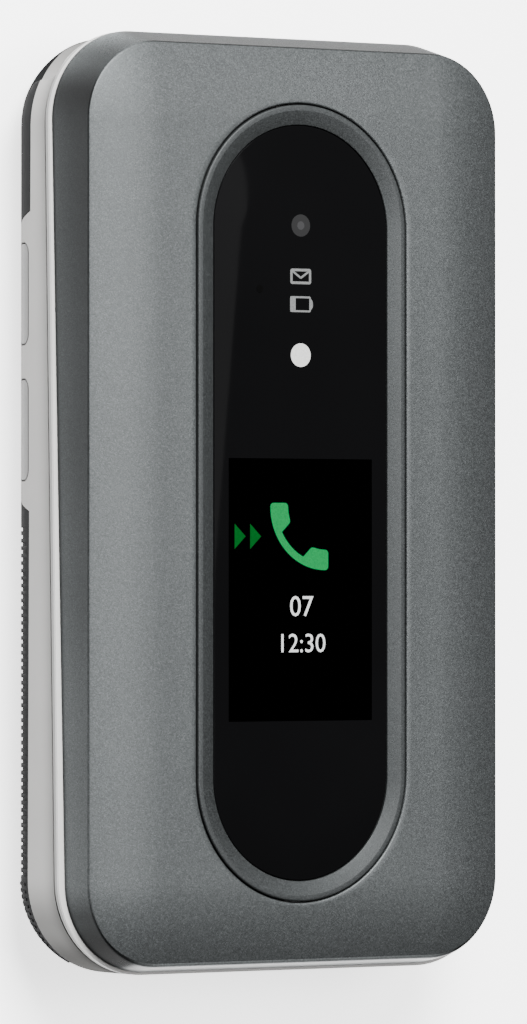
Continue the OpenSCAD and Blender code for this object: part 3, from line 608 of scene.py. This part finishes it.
def grid_faces(rows, cols, wrap_rows=False, wrap_cols=False):
    """Quads of a grid of rows x cols vertices, as an array of indices"""
    r = np.arange(rows if wrap_rows else rows - 1)[:, None]
    c = np.arange(cols if wrap_cols else cols - 1)[None, :]
    r1, c1 = (r + 1) % rows, (c + 1) % cols
    quads = np.stack([r * cols + c, r * cols + c1, r1 * cols + c1, r1 * cols + c], axis=-1)
    return quads.reshape(-1, 4)


def rounded_outline(half_w, half_l, radius, arc=28, side=44):
    """Points and outward normals round a rectangle with corners of one radius, anticlockwise"""
    points, normals = [], []
    centres = [(1, 1), (-1, 1), (-1, -1), (1, -1)]
    for k, (sx, sy) in enumerate(centres):
        angle = np.linspace(0, np.pi / 2, arc) + k * np.pi / 2
        n = np.stack([np.cos(angle), np.sin(angle)], axis=1)
        p = n * radius + [sx * (half_w - radius), sy * (half_l - radius)]
        points.append(p)
        normals.append(n)
        nx, ny = centres[(k + 1) % 4]
        q = n[-1] * radius + [nx * (half_w - radius), ny * (half_l - radius)]
        t = np.linspace(0, 1, side + 1)[1:-1, None]
        points.append(p[-1] * (1 - t) + q * t)
        normals.append(np.repeat(n[-1:], side - 1, axis=0))
    return np.concatenate(points), np.concatenate(normals)


def oval(width, length):
    """Outline with round ends"""
    return rounded_outline(width / 2, length / 2, width / 2 - 1e-4, arc=40, side=30)


def band_along(points, normals, out, height):
    """Grid of a profile (out, height) carried round an outline: p + n * out, lifted by height"""
    flat = points[:, None, :] + normals[:, None, :] * np.asarray(out)[None, :, None]
    z = np.broadcast_to(np.asarray(height, float), flat.shape[:2])
    return np.concatenate([flat, z[..., None]], axis=-1)


def closed_tube(name, grid, mat, angle=0.6):
    """Mesh of a grid that closes both ways"""
    rows, cols = grid.shape[:2]
    faces = grid_faces(rows, cols, True, True)
    return weld(add_mesh(name, grid.reshape(-1, 3) * MM, faces, mat), angle)


def arc_profile(cx, cy, r, a0, a1, n):
    """Points of an arc, angles in degrees"""
    a = np.radians(np.linspace(a0, a1, n))
    return np.stack([cx + r * np.cos(a), cy + r * np.sin(a)], axis=1)


def face_height(s, xy):
    """z = edge + border (1 - (d/d0)^2) + crown (1 - (x/x0)^2)^2 (1 - (y/y0)^2)^2.

    d is the distance from the rectangle that joins the corners' centres.
    """
    half = np.array([s.width / 2 - s.corner, s.length / 2 - s.corner])
    d = np.hypot(*np.moveaxis(np.maximum(np.abs(xy) - half, 0), -1, 0))
    border = s.border * (1 - (d / (s.corner - s.lean)) ** 2)
    inner = np.maximum(1 - (xy / half) ** 2, 0) ** 2
    return s.edge_z + border + s.crown * inner[..., 0] * inner[..., 1]


def lid_face(s, mat):
    """The lid's shell: from the ring over the crowned face, round its edge and down the side"""
    points, normals = rounded_outline(s.width / 2, s.length / 2, s.corner)
    reach = (s.ring_l - s.ring_w) / 2
    centre = np.stack([np.zeros(len(points)), np.clip(points[:, 1], -reach, reach)], axis=1)
    away = points - centre
    away /= np.linalg.norm(away, axis=1, keepdims=True)
    hole = centre + away * (s.ring_w / 2 + s.ring_gap)
    foot = s.rim_z - s.rim_slope * points[:, 1] + s.foot
    lean = s.lean - (s.lean - s.end_lean) * np.maximum(-normals[:, 1:], 0) ** 2
    rows = []

    def row(xy, z):
        rows.append(np.concatenate([xy, np.broadcast_to(z, (len(xy),))[:, None]], axis=1))

    top = face_height(s, hole)
    row(hole, top - 1.6)
    for a in np.radians((0, 30, 60, 90)):
        height = face_height(s, hole + away * LIP) - LIP * (1 - np.sin(a))
        row(hole + away * LIP * (1 - np.cos(a)), height)
    edge = points - normals * (lean + s.edge_round * 0.95)
    start = hole + away * LIP
    for t in np.linspace(0, 1, 26)[1:]:
        xy = start * (1 - t) + edge * t
        row(xy, face_height(s, xy))
    edge_z = face_height(s, edge)
    tilt = np.arctan(s.lean / (s.edge_z - s.rim_z))
    slope = 2 * s.border / (s.corner - s.lean) * 0.87
    for a in np.linspace(slope, np.pi / 2 - tilt, 9)[1:]:
        drop = s.edge_round * (np.cos(slope) - np.cos(a))
        out = s.edge_round * (np.sin(a) - np.sin(slope))
        row(edge + normals * out, edge_z - drop)
    side_top, top_z = rows[-1][:, :2], rows[-1][:, 2]
    foot_out = lean * (s.edge_z - foot[:, None]) / (s.edge_z - s.rim_z)
    side_foot = points - normals * (lean - foot_out)
    for t in np.linspace(0, 1, 9)[1:]:
        row(side_top * (1 - t) + side_foot * t, top_z * (1 - t) + (foot + FOOT_ROUND) * t)
    for a in np.radians((30, 60, 90)):
        row(side_foot - normals * FOOT_ROUND * (1 - np.cos(a)), foot + FOOT_ROUND * (1 - np.sin(a)))
    row(points - normals * s.wall, foot)
    row(points - normals * (s.wall + 0.7), foot * 0.3 + 16.9 * 0.7)
    row(points - normals * (s.wall + 2.4), np.full(len(points), 17.2))
    grid = np.stack(rows, axis=1)
    return closed_tube("lid_face", grid, mat, 0.75)


def trim_ring(s, mat):
    """The dished ring: a rounded band that falls inwards to the window"""
    points, normals = oval(s.ring_w, s.ring_l)
    top, low = s.window_z + 0.48, s.window_z + 0.02
    inner = s.window_w / 2 - s.ring_w / 2 + 0.06
    profile = np.concatenate([
        [[0.0, s.window_z - 1.2]],
        arc_profile(-0.22, top - 0.22, 0.22, 0, 90, 6),
        arc_profile(-0.62, top - 0.35, 0.35, 90, 112, 4),
        arc_profile(inner + 0.12, low - 0.04, 0.12, 110, 180, 5),
        [[inner, s.window_z - 0.7]],
    ])
    band = band_along(points, normals, profile[:, 0], profile[:, 1])
    return closed_tube("trim_ring", band, mat, 0.9)


def window(s, mat):
    """The window: a slab with round ends and a fine rounded edge"""
    points, normals = oval(s.window_w, s.window_l)
    lip = arc_profile(-0.18, s.window_z - 0.18, 0.18, 0, 90, 5)
    grid = band_along(points, normals, lip[:, 0], lip[:, 1])
    reach = (s.window_l - s.window_w) / 2
    ends = np.stack([points[:, 0] * 0, np.clip(points[:, 1], -reach, reach)], axis=1)
    outer = grid[:, -1, :2]
    rows = []
    top_z, back_z = (np.full((len(points), 1), s.window_z - deep) for deep in (0.0, 0.7))
    for t in (0.5, 1.0):
        rows.append(np.concatenate([outer * (1 - t) + ends * t, top_z], axis=1))
    back = [np.concatenate([flat, back_z], axis=1) for flat in (ends, points)]
    full = np.concatenate([np.stack(back, axis=1), grid, np.stack(rows, axis=1)], axis=1)
    rows_n, cols = full.shape[:2]
    faces = grid_faces(rows_n, cols, True, False)
    return weld(add_mesh("window", full.reshape(-1, 3) * MM, faces, mat), 0.7, 1e-6)


def plate(name, outline, z, thick, mat):
    """A thin prism over a closed outline of points, in millimetres"""
    n = len(outline)
    low = [(x, y, z - thick) for x, y in outline]
    high = [(x, y, z) for x, y in outline]
    k = np.arange(n)
    sides = np.stack([k, (k + 1) % n, (k + 1) % n + n, k + n], axis=1).tolist()
    faces = sides + [list(range(n))[::-1], [i + n for i in range(n)]]
    return weld(add_mesh(name, np.array(low + high) * MM, faces, mat, False), 0.5)


def joined(name, parts):
    """One object of several meshes that share a material"""
    bm = bmesh.new()
    mat = parts[0].data.materials[0]
    for part in parts:
        bm.from_mesh(part.data)
    mesh = bpy.data.meshes.new(name)
    bm.to_mesh(mesh)
    bm.free()
    mesh.materials.append(mat)
    for part in parts:
        bpy.data.objects.remove(part)
    obj = bpy.data.objects.new(name, mesh)
    bpy.context.scene.collection.objects.link(obj)
    return obj


def lettering(name, text, size, centre, z, mat, depth=0.02, bold=0.0):
    """Plain figures as a mesh, centred on a point, with their face at height z, in millimetres"""
    curve = bpy.data.curves.new(name, "FONT")
    curve.body = text
    curve.size = size * MM
    curve.align_x = "CENTER"
    curve.align_y = "CENTER"
    curve.offset = bold * MM
    curve.extrude = depth * MM / 2
    curve.resolution_u = 3
    obj = bpy.data.objects.new(name, curve)
    bpy.context.scene.collection.objects.link(obj)
    bpy.context.view_layer.update()
    mesh = bpy.data.meshes.new_from_object(obj.evaluated_get(bpy.context.evaluated_depsgraph_get()))
    bpy.data.objects.remove(obj)
    mesh.transform(Matrix.Translation(Vector((centre[0], centre[1], z - depth / 2)) * MM))
    mesh.materials.clear()
    mesh.materials.append(mat)
    out = bpy.data.objects.new(name, mesh)
    bpy.context.scene.collection.objects.link(out)
    return out


def softened(node, width, mat, segments=2, angle=0.6):
    """A welded copy of a CAD node with its edges rounded, standing for that node"""
    source = frame["nodes"][node]
    mesh = source.data.copy()
    mesh.materials.clear()
    mesh.materials.append(mat)
    obj = bpy.data.objects.new(node + "_soft", mesh)
    bpy.context.scene.collection.objects.link(obj)
    bm = bmesh.new()
    bm.from_mesh(mesh)
    bmesh.ops.remove_doubles(bm, verts=bm.verts, dist=2e-7)
    bmesh.ops.dissolve_limit(bm, angle_limit=0.02, verts=bm.verts, edges=bm.edges)
    bm.to_mesh(mesh)
    bm.free()
    mesh.polygons.foreach_set("use_smooth", [True] * len(mesh.polygons))
    mesh.set_sharp_from_angle(angle=angle)
    if width:
        bevel = obj.modifiers.new("edges", "BEVEL")
        bevel.width = width * MM
        bevel.segments = segments
        bevel.limit_method = "ANGLE"
        bevel.angle_limit = angle
        bevel.harden_normals = True
        bevel.use_clamp_overlap = True
        shading = obj.modifiers.new("shading", "WEIGHTED_NORMAL")
        shading.keep_sharp = True
    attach(obj, body_of_node(node))
    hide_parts(node)
    return obj


def body_of_node(node):
    """The body that carries a CAD node"""
    bodies = frame["record"]["behaviour"]["bodies"]
    return next(body for body, nodes in bodies.items() if node in nodes)


# ---------- Operators ----------


class PHONE_OT_lid(bpy.types.Operator):
    """Builds the lid's face, trim ring and window"""

    bl_idname = "phone.lid"
    bl_label = "Lid"

    def execute(self, context):
        s = context.scene.phone_lid
        # The lid's paint carries painted reflections and shade on its sides
        paint = flake_paint("lid_paint", s.paint, lid=s)
        face = lid_face(s, paint)
        # The trim ring takes the lid's paint at 0.6 of its colour, a painted shade for the dished
        # ring
        ring = trim_ring(s, flake_paint("ring_paint_shaded", toned(s.paint, 0.6), 0.6))
        pane = window(s, glass("window_glass", (0.0012, 0.0012, 0.0013)))
        shown = (
            (face, "lid_outer_shell", "lid_paint"),
            (ring, "lid_trim_ring", "lid_paint"),
            (pane, "lid_window", "window_glass"),
        )
        for obj, node, slot in shown:
            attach(obj, "lid")
            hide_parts(node)
        return {"FINISHED"}


class PHONE_OT_display(bpy.types.Operator):
    """Builds the camera, lights, flash and outer display behind the window"""

    bl_idname = "phone.display"
    bl_label = "Display"

    def execute(self, context):
        s = context.scene.phone_display
        z = context.scene.phone_lid.window_z + 0.03
        white = lit("figure_white", s.white, 1.9)
        grey = lit("sign_grey", s.white, 0.42)
        green = lit("sign_green", s.green, 1.0)
        dark_green = lit("sign_dark_green", s.dark_green, 1.0)
        a = np.linspace(0, 2 * np.pi, 49)[:-1]

        def disc(name, y, d, mat, height=z, x=0.0):
            rim = np.stack([x + d / 2 * np.cos(a), y + d / 2 * np.sin(a)], axis=1)
            return plate(name, rim, height, SIGN_THICK, mat)

        def box(name, x0, x1, y0, y1, mat, height=z):
            return plate(name, [(x0, y0), (x1, y0), (x1, y1), (x0, y1)], height, SIGN_THICK, mat)

        pieces = []
        black = glass("screen_black", (0.00005, 0.00005, 0.00005), 0.02)
        screen = box("screen", -s.screen_w / 2, s.screen_w / 2, s.screen_y - s.screen_l / 2,
                     s.screen_y + s.screen_l / 2, black, z - 0.01)
        pieces.append((screen, "display_black"))
        # The flash glows here though it is not firing: its glow is painted light for a white
        # diffuser
        flash = disc("flash", s.flash_y, s.flash_d, lit("flash_white", (0.86, 0.86, 0.84), 1.9))
        pieces.append((flash, "white_diffuser"))
        lens = glass("lens_glass", (0.008, 0.008, 0.0082))
        eye = disc("camera_eye", s.camera_y, s.camera_d, lens)
        lens = glass("lens_core", (0.014, 0.014, 0.0145))
        core = disc("camera_core", s.camera_y, 1.0, lens, z + 0.004)
        sensor = disc("sensor", 24.9, 0.9, glass("sensor_glass", (0.001, 0.001, 0.001)), x=-5.7)
        pieces += [(eye, "lens_glass"), (core, "lens_glass"), (sensor, "lens_glass")]
        pieces.append((self.envelope(s, z, grey), "white_diffuser"))
        pieces.append((self.cell(s, z, grey), "white_diffuser"))
        call = handset_outline(8.1, 7.85) + [-0.2, s.call_y]
        pieces.append((plate("call_sign", call[::-1], z, SIGN_THICK, green), "display_black"))
        arrows = []
        for x in (-9.2, -7.05):
            tip = [(x, s.call_y + 1.47), (x, s.call_y - 1.47), (x + 1.52, s.call_y)]
            arrows.append(plate("arrow", tip[::-1], z, SIGN_THICK, dark_green))
        pieces.append((joined("arrows", arrows), "display_black"))
        lines = (("figures_small", "07", 3.4, -12.2), ("figures", "12:30", 3.1, -16.5))
        for name, text, size, y in lines:
            pieces.append((lettering(name, text, size, (0.1, y), z, white), "display_black"))
        for obj, slot in pieces:
            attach(obj, "lid")
        return {"FINISHED"}

    def envelope(self, s, z, mat):
        """Message sign: a rounded frame with two strokes of the flap"""
        frame_line = self.frame_line("message", 0.0, s.message_y, 2.9, 1.8, 0.28, 0.3, z, mat)
        strokes = [
            self.stroke("flap", (side * 1.3, s.message_y + 0.72), (0.0, s.message_y - 0.18), 0.24,
                        z + 0.002, mat)
            for side in (-1, 1)
        ]
        return joined("message_sign", [frame_line] + strokes)

    def cell(self, s, z, mat):
        """Charge sign: a rounded frame, its filled left end and the tip at the right"""
        y = s.charge_y
        frame_line = self.frame_line("charge", -0.03, y, 2.9, 1.85, 0.26, 0.22, z, mat)
        fill = [(-1.45, y - 0.9), (-0.72, y - 0.9), (-0.72, y + 0.9), (-1.45, y + 0.9)]
        filled = plate("cell", fill, z + 0.002, SIGN_THICK, mat)
        a = np.linspace(-np.pi / 2, np.pi / 2, 13)
        tip = np.stack([1.36 + 0.34 * np.cos(a), y + 0.62 * np.sin(a)], axis=1)
        end = plate("tip", tip, z + 0.003, SIGN_THICK, mat)
        return joined("charge_sign", [frame_line, filled, end])

    def frame_line(self, name, x, y, w, h, radius, line, z, mat):
        """A rounded rectangle drawn as a line"""
        points, normals = rounded_outline(w / 2, h / 2, radius, arc=7, side=2)
        back = z - SIGN_THICK
        profile = np.array([[0, z], [-line, z], [-line, back], [0, back]])
        band = band_along(points + [x, y], normals, profile[:, 0], profile[:, 1])
        return closed_tube(name, band, mat)

    def stroke(self, name, a, b, line, z, mat):
        """A straight line of a given width"""
        a, b = np.array(a), np.array(b)
        side = np.array([-(b - a)[1], (b - a)[0]])
        side *= line / 2 / np.linalg.norm(side)
        return plate(name, [a + side, a - side, b - side, b + side], z, SIGN_THICK, mat)


def handset_outline(width, height):
    """Outline of a telephone handset seen from the side, its ear at the top left.

    Two arcs about one centre, radii 17 and 15 of a box of 18 units, joined by the ear piece, and the
    ear piece mirrored in the diagonal as the mouth piece.
    """
    centre = np.array([17.0, 1.0])
    ear = np.array([
        (0.0, 1.0), (0.12, 0.5), (0.5, 0.12), (1.0, 0.0), (4.5, 0.0), (5.0, 0.12), (5.38, 0.5),
        (5.5, 1.0),
        (5.62, 2.6), (6.07, 4.57), (6.1, 5.1), (5.82, 5.59), (3.62, 7.79),
    ])
    inner = centre + 15.0 * np.stack([np.cos(INNER_ARC), np.sin(INNER_ARC)], axis=1)
    mouth = (18.0 - ear[::-1])[:, ::-1]
    outer = centre + 17.0 * np.stack([np.cos(OUTER_ARC), np.sin(OUTER_ARC)], axis=1)
    outline = np.concatenate([ear, inner[1:-1], mouth, outer[1:-1]]) / 18.0 - 0.5
    return outline * [width, -height]


INNER_ARC = np.radians(np.linspace(153.1, 116.9, 12))
OUTER_ARC = np.radians(np.linspace(90.0, 180.0, 24))


class PHONE_OT_base(bpy.types.Operator):
    """Rounds the edges of the shells and keys and gives them their finish"""

    bl_idname = "phone.base"
    bl_label = "Base"

    def execute(self, context):
        s, lid = context.scene.phone_base, context.scene.phone_lid
        # The frame's finish carries painted shade and reflections, and the lid's inner shell a
        # painted shade over the parting plane
        light = plastic("light_plastic", toned(s.light, 1.2), gloss=0.0, outer=lid)
        side_key = plastic("side_key_plastic", toned(s.light, 0.25), gloss=0.3)
        dark = cover_plastic("cover_plastic", s.dark, s.light, lid)
        key = plastic("key_plastic", s.keys, 0.3, 4000.0, 0.000003, 0.03, gloss=0.2)
        inner = plastic("inner_plastic", toned(s.light, 1.35), gloss=0.3, rim=lid)
        softened("lid_inner_shell", s.edge, inner)
        softened("keypad_frame", s.edge, light)
        softened("back_cover", s.edge * 0.6, dark, 1)
        ribs = corner_ribs(dark)
        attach(ribs, "base")
        for node in ("volume_up_key", "volume_down_key"):
            softened(node, s.key_edge, side_key, 3)
        colours = {
            "call_key": (
                "call_green", plastic("call_green", (0.005, 0.085, 0.02), 0.3, gloss=0.2)),
            "end_key": ("end_red", plastic("end_red", (0.14, 0.004, 0.004), 0.3, gloss=0.2)),
            "assistance_key": (
                "assist_grey", plastic("assist_grey", (0.08, 0.08, 0.083), 0.4, gloss=0.2)),
        }
        for node in keypad_nodes() + ["assistance_key"]:
            slot, mat = colours.get(node, ("key_plastic", key))
            softened(node, s.key_edge, mat, 3)
        return {"FINISHED"}


def corner_ribs(mat):
    """Grip ribs round the free end's corners.

    Bars on the quarter round (out, z) = (3 + 8 cos t, 8 - 8 sin t), in millimetres, where `out` is
    the distance from the corner's centre and t grows from the side towards the back.
    """
    turns = np.radians(np.arange(3.0, 66.0, 4.6))[:, None, None]
    fall = np.radians(np.linspace(11.0, 60.0, 10))[None, :, None]
    across = np.array([-1.0, -0.6, 0.6, 1.0])[None, None, :] * 0.235
    proud = np.array([-0.15, 0.12, 0.12, -0.15])[None, None, :]
    side = SIDE_AXIS[1] / MM
    radius = side + proud
    reach = (BASE_CORNER - side) + radius * np.cos(fall)
    z = np.broadcast_to(side - radius * np.sin(fall), (len(turns), 10, 4))
    x = (BASE_HALF[0] - BASE_CORNER) + reach * np.cos(turns) - across * np.sin(turns)
    y = (BASE_CORNER - BASE_HALF[1]) - reach * np.sin(turns) - across * np.cos(turns)
    bars = np.stack(np.broadcast_arrays(x, y, z), axis=-1)
    bars = np.concatenate([bars, bars * [-1, 1, 1]])
    one = np.concatenate([grid_faces(10, 4, False, True), [[0, 1, 2, 3], [39, 38, 37, 36]]])
    faces = (np.arange(len(bars))[:, None, None] * 40 + one[None]).reshape(-1, 4)
    return weld(add_mesh("corner_ribs", bars.reshape(-1, 3) * MM, faces, mat, False))


def keypad_nodes():
    """Names of the keys on the keypad deck"""
    pads = ["key_" + sign for sign in (*"123456789", "star", "0", "hash")]
    return pads + ["nav_key", "ok_key", "soft_key_left", "soft_key_right", "call_key", "end_key"]


class PHONE_OT_legends(bpy.types.Operator):
    """Prints the figures and signs on the keys"""

    bl_idname = "phone.legends"
    bl_label = "Legends"

    def execute(self, context):
        ink = plastic("key_ink", (0.004, 0.004, 0.005), 0.5, gloss=0.1)
        pale = plastic("key_sign", (0.5, 0.5, 0.5), 0.5, gloss=0.1)
        words = {"key_star": "*", "key_hash": "#", "ok_key": "OK"}
        for node in keypad_nodes():
            low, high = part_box(node)
            centre = (low + high) / 2 / MM
            text = words.get(node, node[4:] if node.startswith("key_") else None)
            if text is None:
                continue
            size = 3.4 if node == "ok_key" else 6.6
            obj = lettering(
                node + "_legend", text, size, (0, 0), 0.0, ink, LEGEND_THICK, LEGEND_BOLD)
            self.lay(obj, centre)
            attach(obj, body_of_node(node))
        turns = {"call_key": 0.0, "end_key": 2.3, "soft_key_left": None, "soft_key_right": None}
        for node, turn in turns.items():
            low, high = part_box(node)
            centre = (low + high) / 2 / MM
            mat = pale if turn is not None else ink
            obj = plate(node + "_legend", self.sign(turn), 0.0, LEGEND_THICK, mat)
            self.lay(obj, centre)
            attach(obj, body_of_node(node))
        return {"FINISHED"}

    def sign(self, turn):
        """A small handset, turned, or a short bar"""
        if turn is None:
            return [(-1.8, -0.35), (1.8, -0.35), (1.8, 0.35), (-1.8, 0.35)]
        c, n = np.cos(turn), np.sin(turn)
        return (handset_outline(4.2, 4.2) @ np.array([[c, n], [-n, c]]))[::-1]

    def lay(self, obj, centre):
        """Lays a flat legend on the leaning plane of the key tops"""
        s = bpy.context.scene.phone_lid
        rim = s.rim_z - s.rim_slope * centre[1]
        lean = Matrix.Rotation(-np.arctan(s.rim_slope), 4, "X")
        place = Vector((centre[0], centre[1], rim + LEGEND_RISE)) * MM
        obj.data.transform(Matrix.Translation(place) @ lean)


class PHONE_OT_finishes(bpy.types.Operator):
    """Gives every CAD node that still shows its own finish"""

    bl_idname = "phone.finishes"
    bl_label = "Finishes"

    def execute(self, context):
        steel = metal("steel", (0.22, 0.225, 0.23))
        gold = metal("gold", (0.75, 0.52, 0.2), 0.25)
        black = plastic("black_plastic", (0.02, 0.02, 0.021), 0.45)
        chassis = plastic("chassis_plastic", (0.03, 0.03, 0.031), 0.5)
        film = plastic("flex_film", (0.38, 0.17, 0.03), 0.3)
        by_slot = {
            "display_black": glass("inner_screen", (0.004, 0.004, 0.005)), "black_plastic": black,
            "window_glass": glass("inner_window", (0.004, 0.004, 0.005)),
            "lens_glass": glass("module_lens", (0.01, 0.01, 0.012)),
            "white_diffuser": plastic("diffuser", (0.8, 0.8, 0.78), 0.5),
            "circuit_board": board("circuit_board"),
            "bumper_rubber": plastic("rubber", (0.06, 0.06, 0.062), 0.7), "steel": steel,
            "flex_film": film, "chassis_plastic": chassis,
            "battery_label": plastic("battery_label", (0.5, 0.5, 0.48), 0.4),
            "contact_gold": gold, "cover_plastic": chassis,
            "light_plastic": plastic("spare_light", (0.5, 0.5, 0.49)),
            "key_plastic": plastic("spare_key", (0.7, 0.7, 0.7)),
            "lid_paint": flake_paint("spare_paint", (0.052, 0.056, 0.057)),
        }
        slots = {part["node"]: part["material_slot"] for part in frame["record"]["subparts"]}
        for name, obj in frame["nodes"].items():
            mat = by_slot.get(slots[name], chassis)
            obj.data.materials.clear()
            obj.data.materials.append(mat)
        return {"FINISHED"}


class PHONE_OT_stage(bpy.types.Operator):
    """Lays the floor and sets the lights and the camera"""

    bl_idname = "phone.stage"
    bl_label = "Stage"

    def execute(self, context):
        s = context.scene.phone_stage
        r = s.floor
        paper = Paint("paper", Metallic=0.0, Roughness=0.9, Emission_Strength=s.glow)
        paper.shader.inputs["Emission Color"].default_value = (1, 1, 1, 1)
        greys = [(grey, grey, grey, 1) for grey in (0.50, 0.53)]
        paper.feed(Base_Color=paper.mixed(*greys, paper.noise(3.0)))
        corners = [(x * r, y * r, FLOOR_Z) for x, y in ((-1, -1), (1, -1), (1, 1), (-1, 1))]
        floor = add_mesh("floor", corners, [(0, 1, 2, 3)], paper.mat, False)
        self.light("key", (-0.12, 0.52, 0.60), (0, 0.02, 0), 0.4, s.key_power)
        self.light("over", (0.17, 0.13, 0.83), (0, 0, 0), 0.38, s.fill_power)
        world = bpy.data.worlds.new("sky")
        context.scene.world = world
        world.use_nodes = True
        world.node_tree.nodes["Background"].inputs["Color"].default_value = (1, 1, 1, 1)
        world.node_tree.nodes["Background"].inputs["Strength"].default_value = s.sky
        self.camera(context, s)
        return {"FINISHED"}

    def light(self, name, place, aim, size, power):
        lamp = bpy.data.lights.new(name, "AREA")
        lamp.size = size
        lamp.energy = power
        obj = bpy.data.objects.new(name, lamp)
        obj.location = place
        obj.rotation_euler = (Vector(aim) - Vector(place)).to_track_quat("-Z", "Y").to_euler()
        bpy.context.scene.collection.objects.link(obj)

    def camera(self, context, s):
        """Looks at the window from the phone's left, turned a little up and left of its middle"""
        lens = bpy.data.cameras.new("camera")
        lens.lens = s.focal
        lens.sensor_width = 36.0
        lens.clip_start = 0.05
        eye = Vector((-0.465, -0.00925, 0.7237))
        ahead = (Vector((0, -0.00925, 0.0187)) - eye).normalized()
        right = ahead.cross(Vector((0, 1, 0))).normalized()
        up = right.cross(ahead)
        aside, above = np.tan(np.radians((0.289, 0.555)))
        ahead = (ahead - right * aside + up * above).normalized()
        right = ahead.cross(Vector((0, 1, 0))).normalized()
        up = right.cross(ahead)
        turn = Matrix((right, up, -ahead)).transposed().to_4x4()
        obj = bpy.data.objects.new("camera", lens)
        obj.matrix_world = Matrix.Translation(eye) @ turn
        context.scene.collection.objects.link(obj)
        context.scene.camera = obj


class PHONE_PT_panel(bpy.types.Panel):
    """Sizes and steps of the phone"""

    bl_label = "Flip phone"
    bl_space_type = "VIEW_3D"
    bl_region_type = "UI"
    bl_category = "Phone"

    def draw(self, context):
        for group in ("phone_lid", "phone_display", "phone_base", "phone_stage"):
            settings = getattr(context.scene, group)
            column = self.layout.column()
            for name in settings.bl_rna.properties.keys():
                if name not in ("rna_type", "name"):
                    column.prop(settings, name)
        for op in OPERATORS:
            self.layout.operator(op.bl_idname)


OPERATORS = (
    PHONE_OT_finishes, PHONE_OT_lid, PHONE_OT_display, PHONE_OT_base, PHONE_OT_legends,
    PHONE_OT_stage,
)
SETTINGS = {
    "phone_lid": PhoneLidSettings,
    "phone_display": PhoneDisplaySettings,
    "phone_base": PhoneBaseSettings,
    "phone_stage": PhoneStageSettings,
}


def register():
    for cls in (*SETTINGS.values(), *OPERATORS, PHONE_PT_panel):
        bpy.utils.register_class(cls)
    for name, cls in SETTINGS.items():
        setattr(bpy.types.Scene, name, bpy.props.PointerProperty(type=cls))


def unregister():
    for name in SETTINGS:
        delattr(bpy.types.Scene, name)
    for cls in reversed((*SETTINGS.values(), *OPERATORS, PHONE_PT_panel)):
        bpy.utils.unregister_class(cls)


def main():
    register()
    for op in OPERATORS:
        group, step = op.bl_idname.split(".")
        getattr(getattr(bpy.ops, group), step)()


if __name__ == "__main__":
    main()
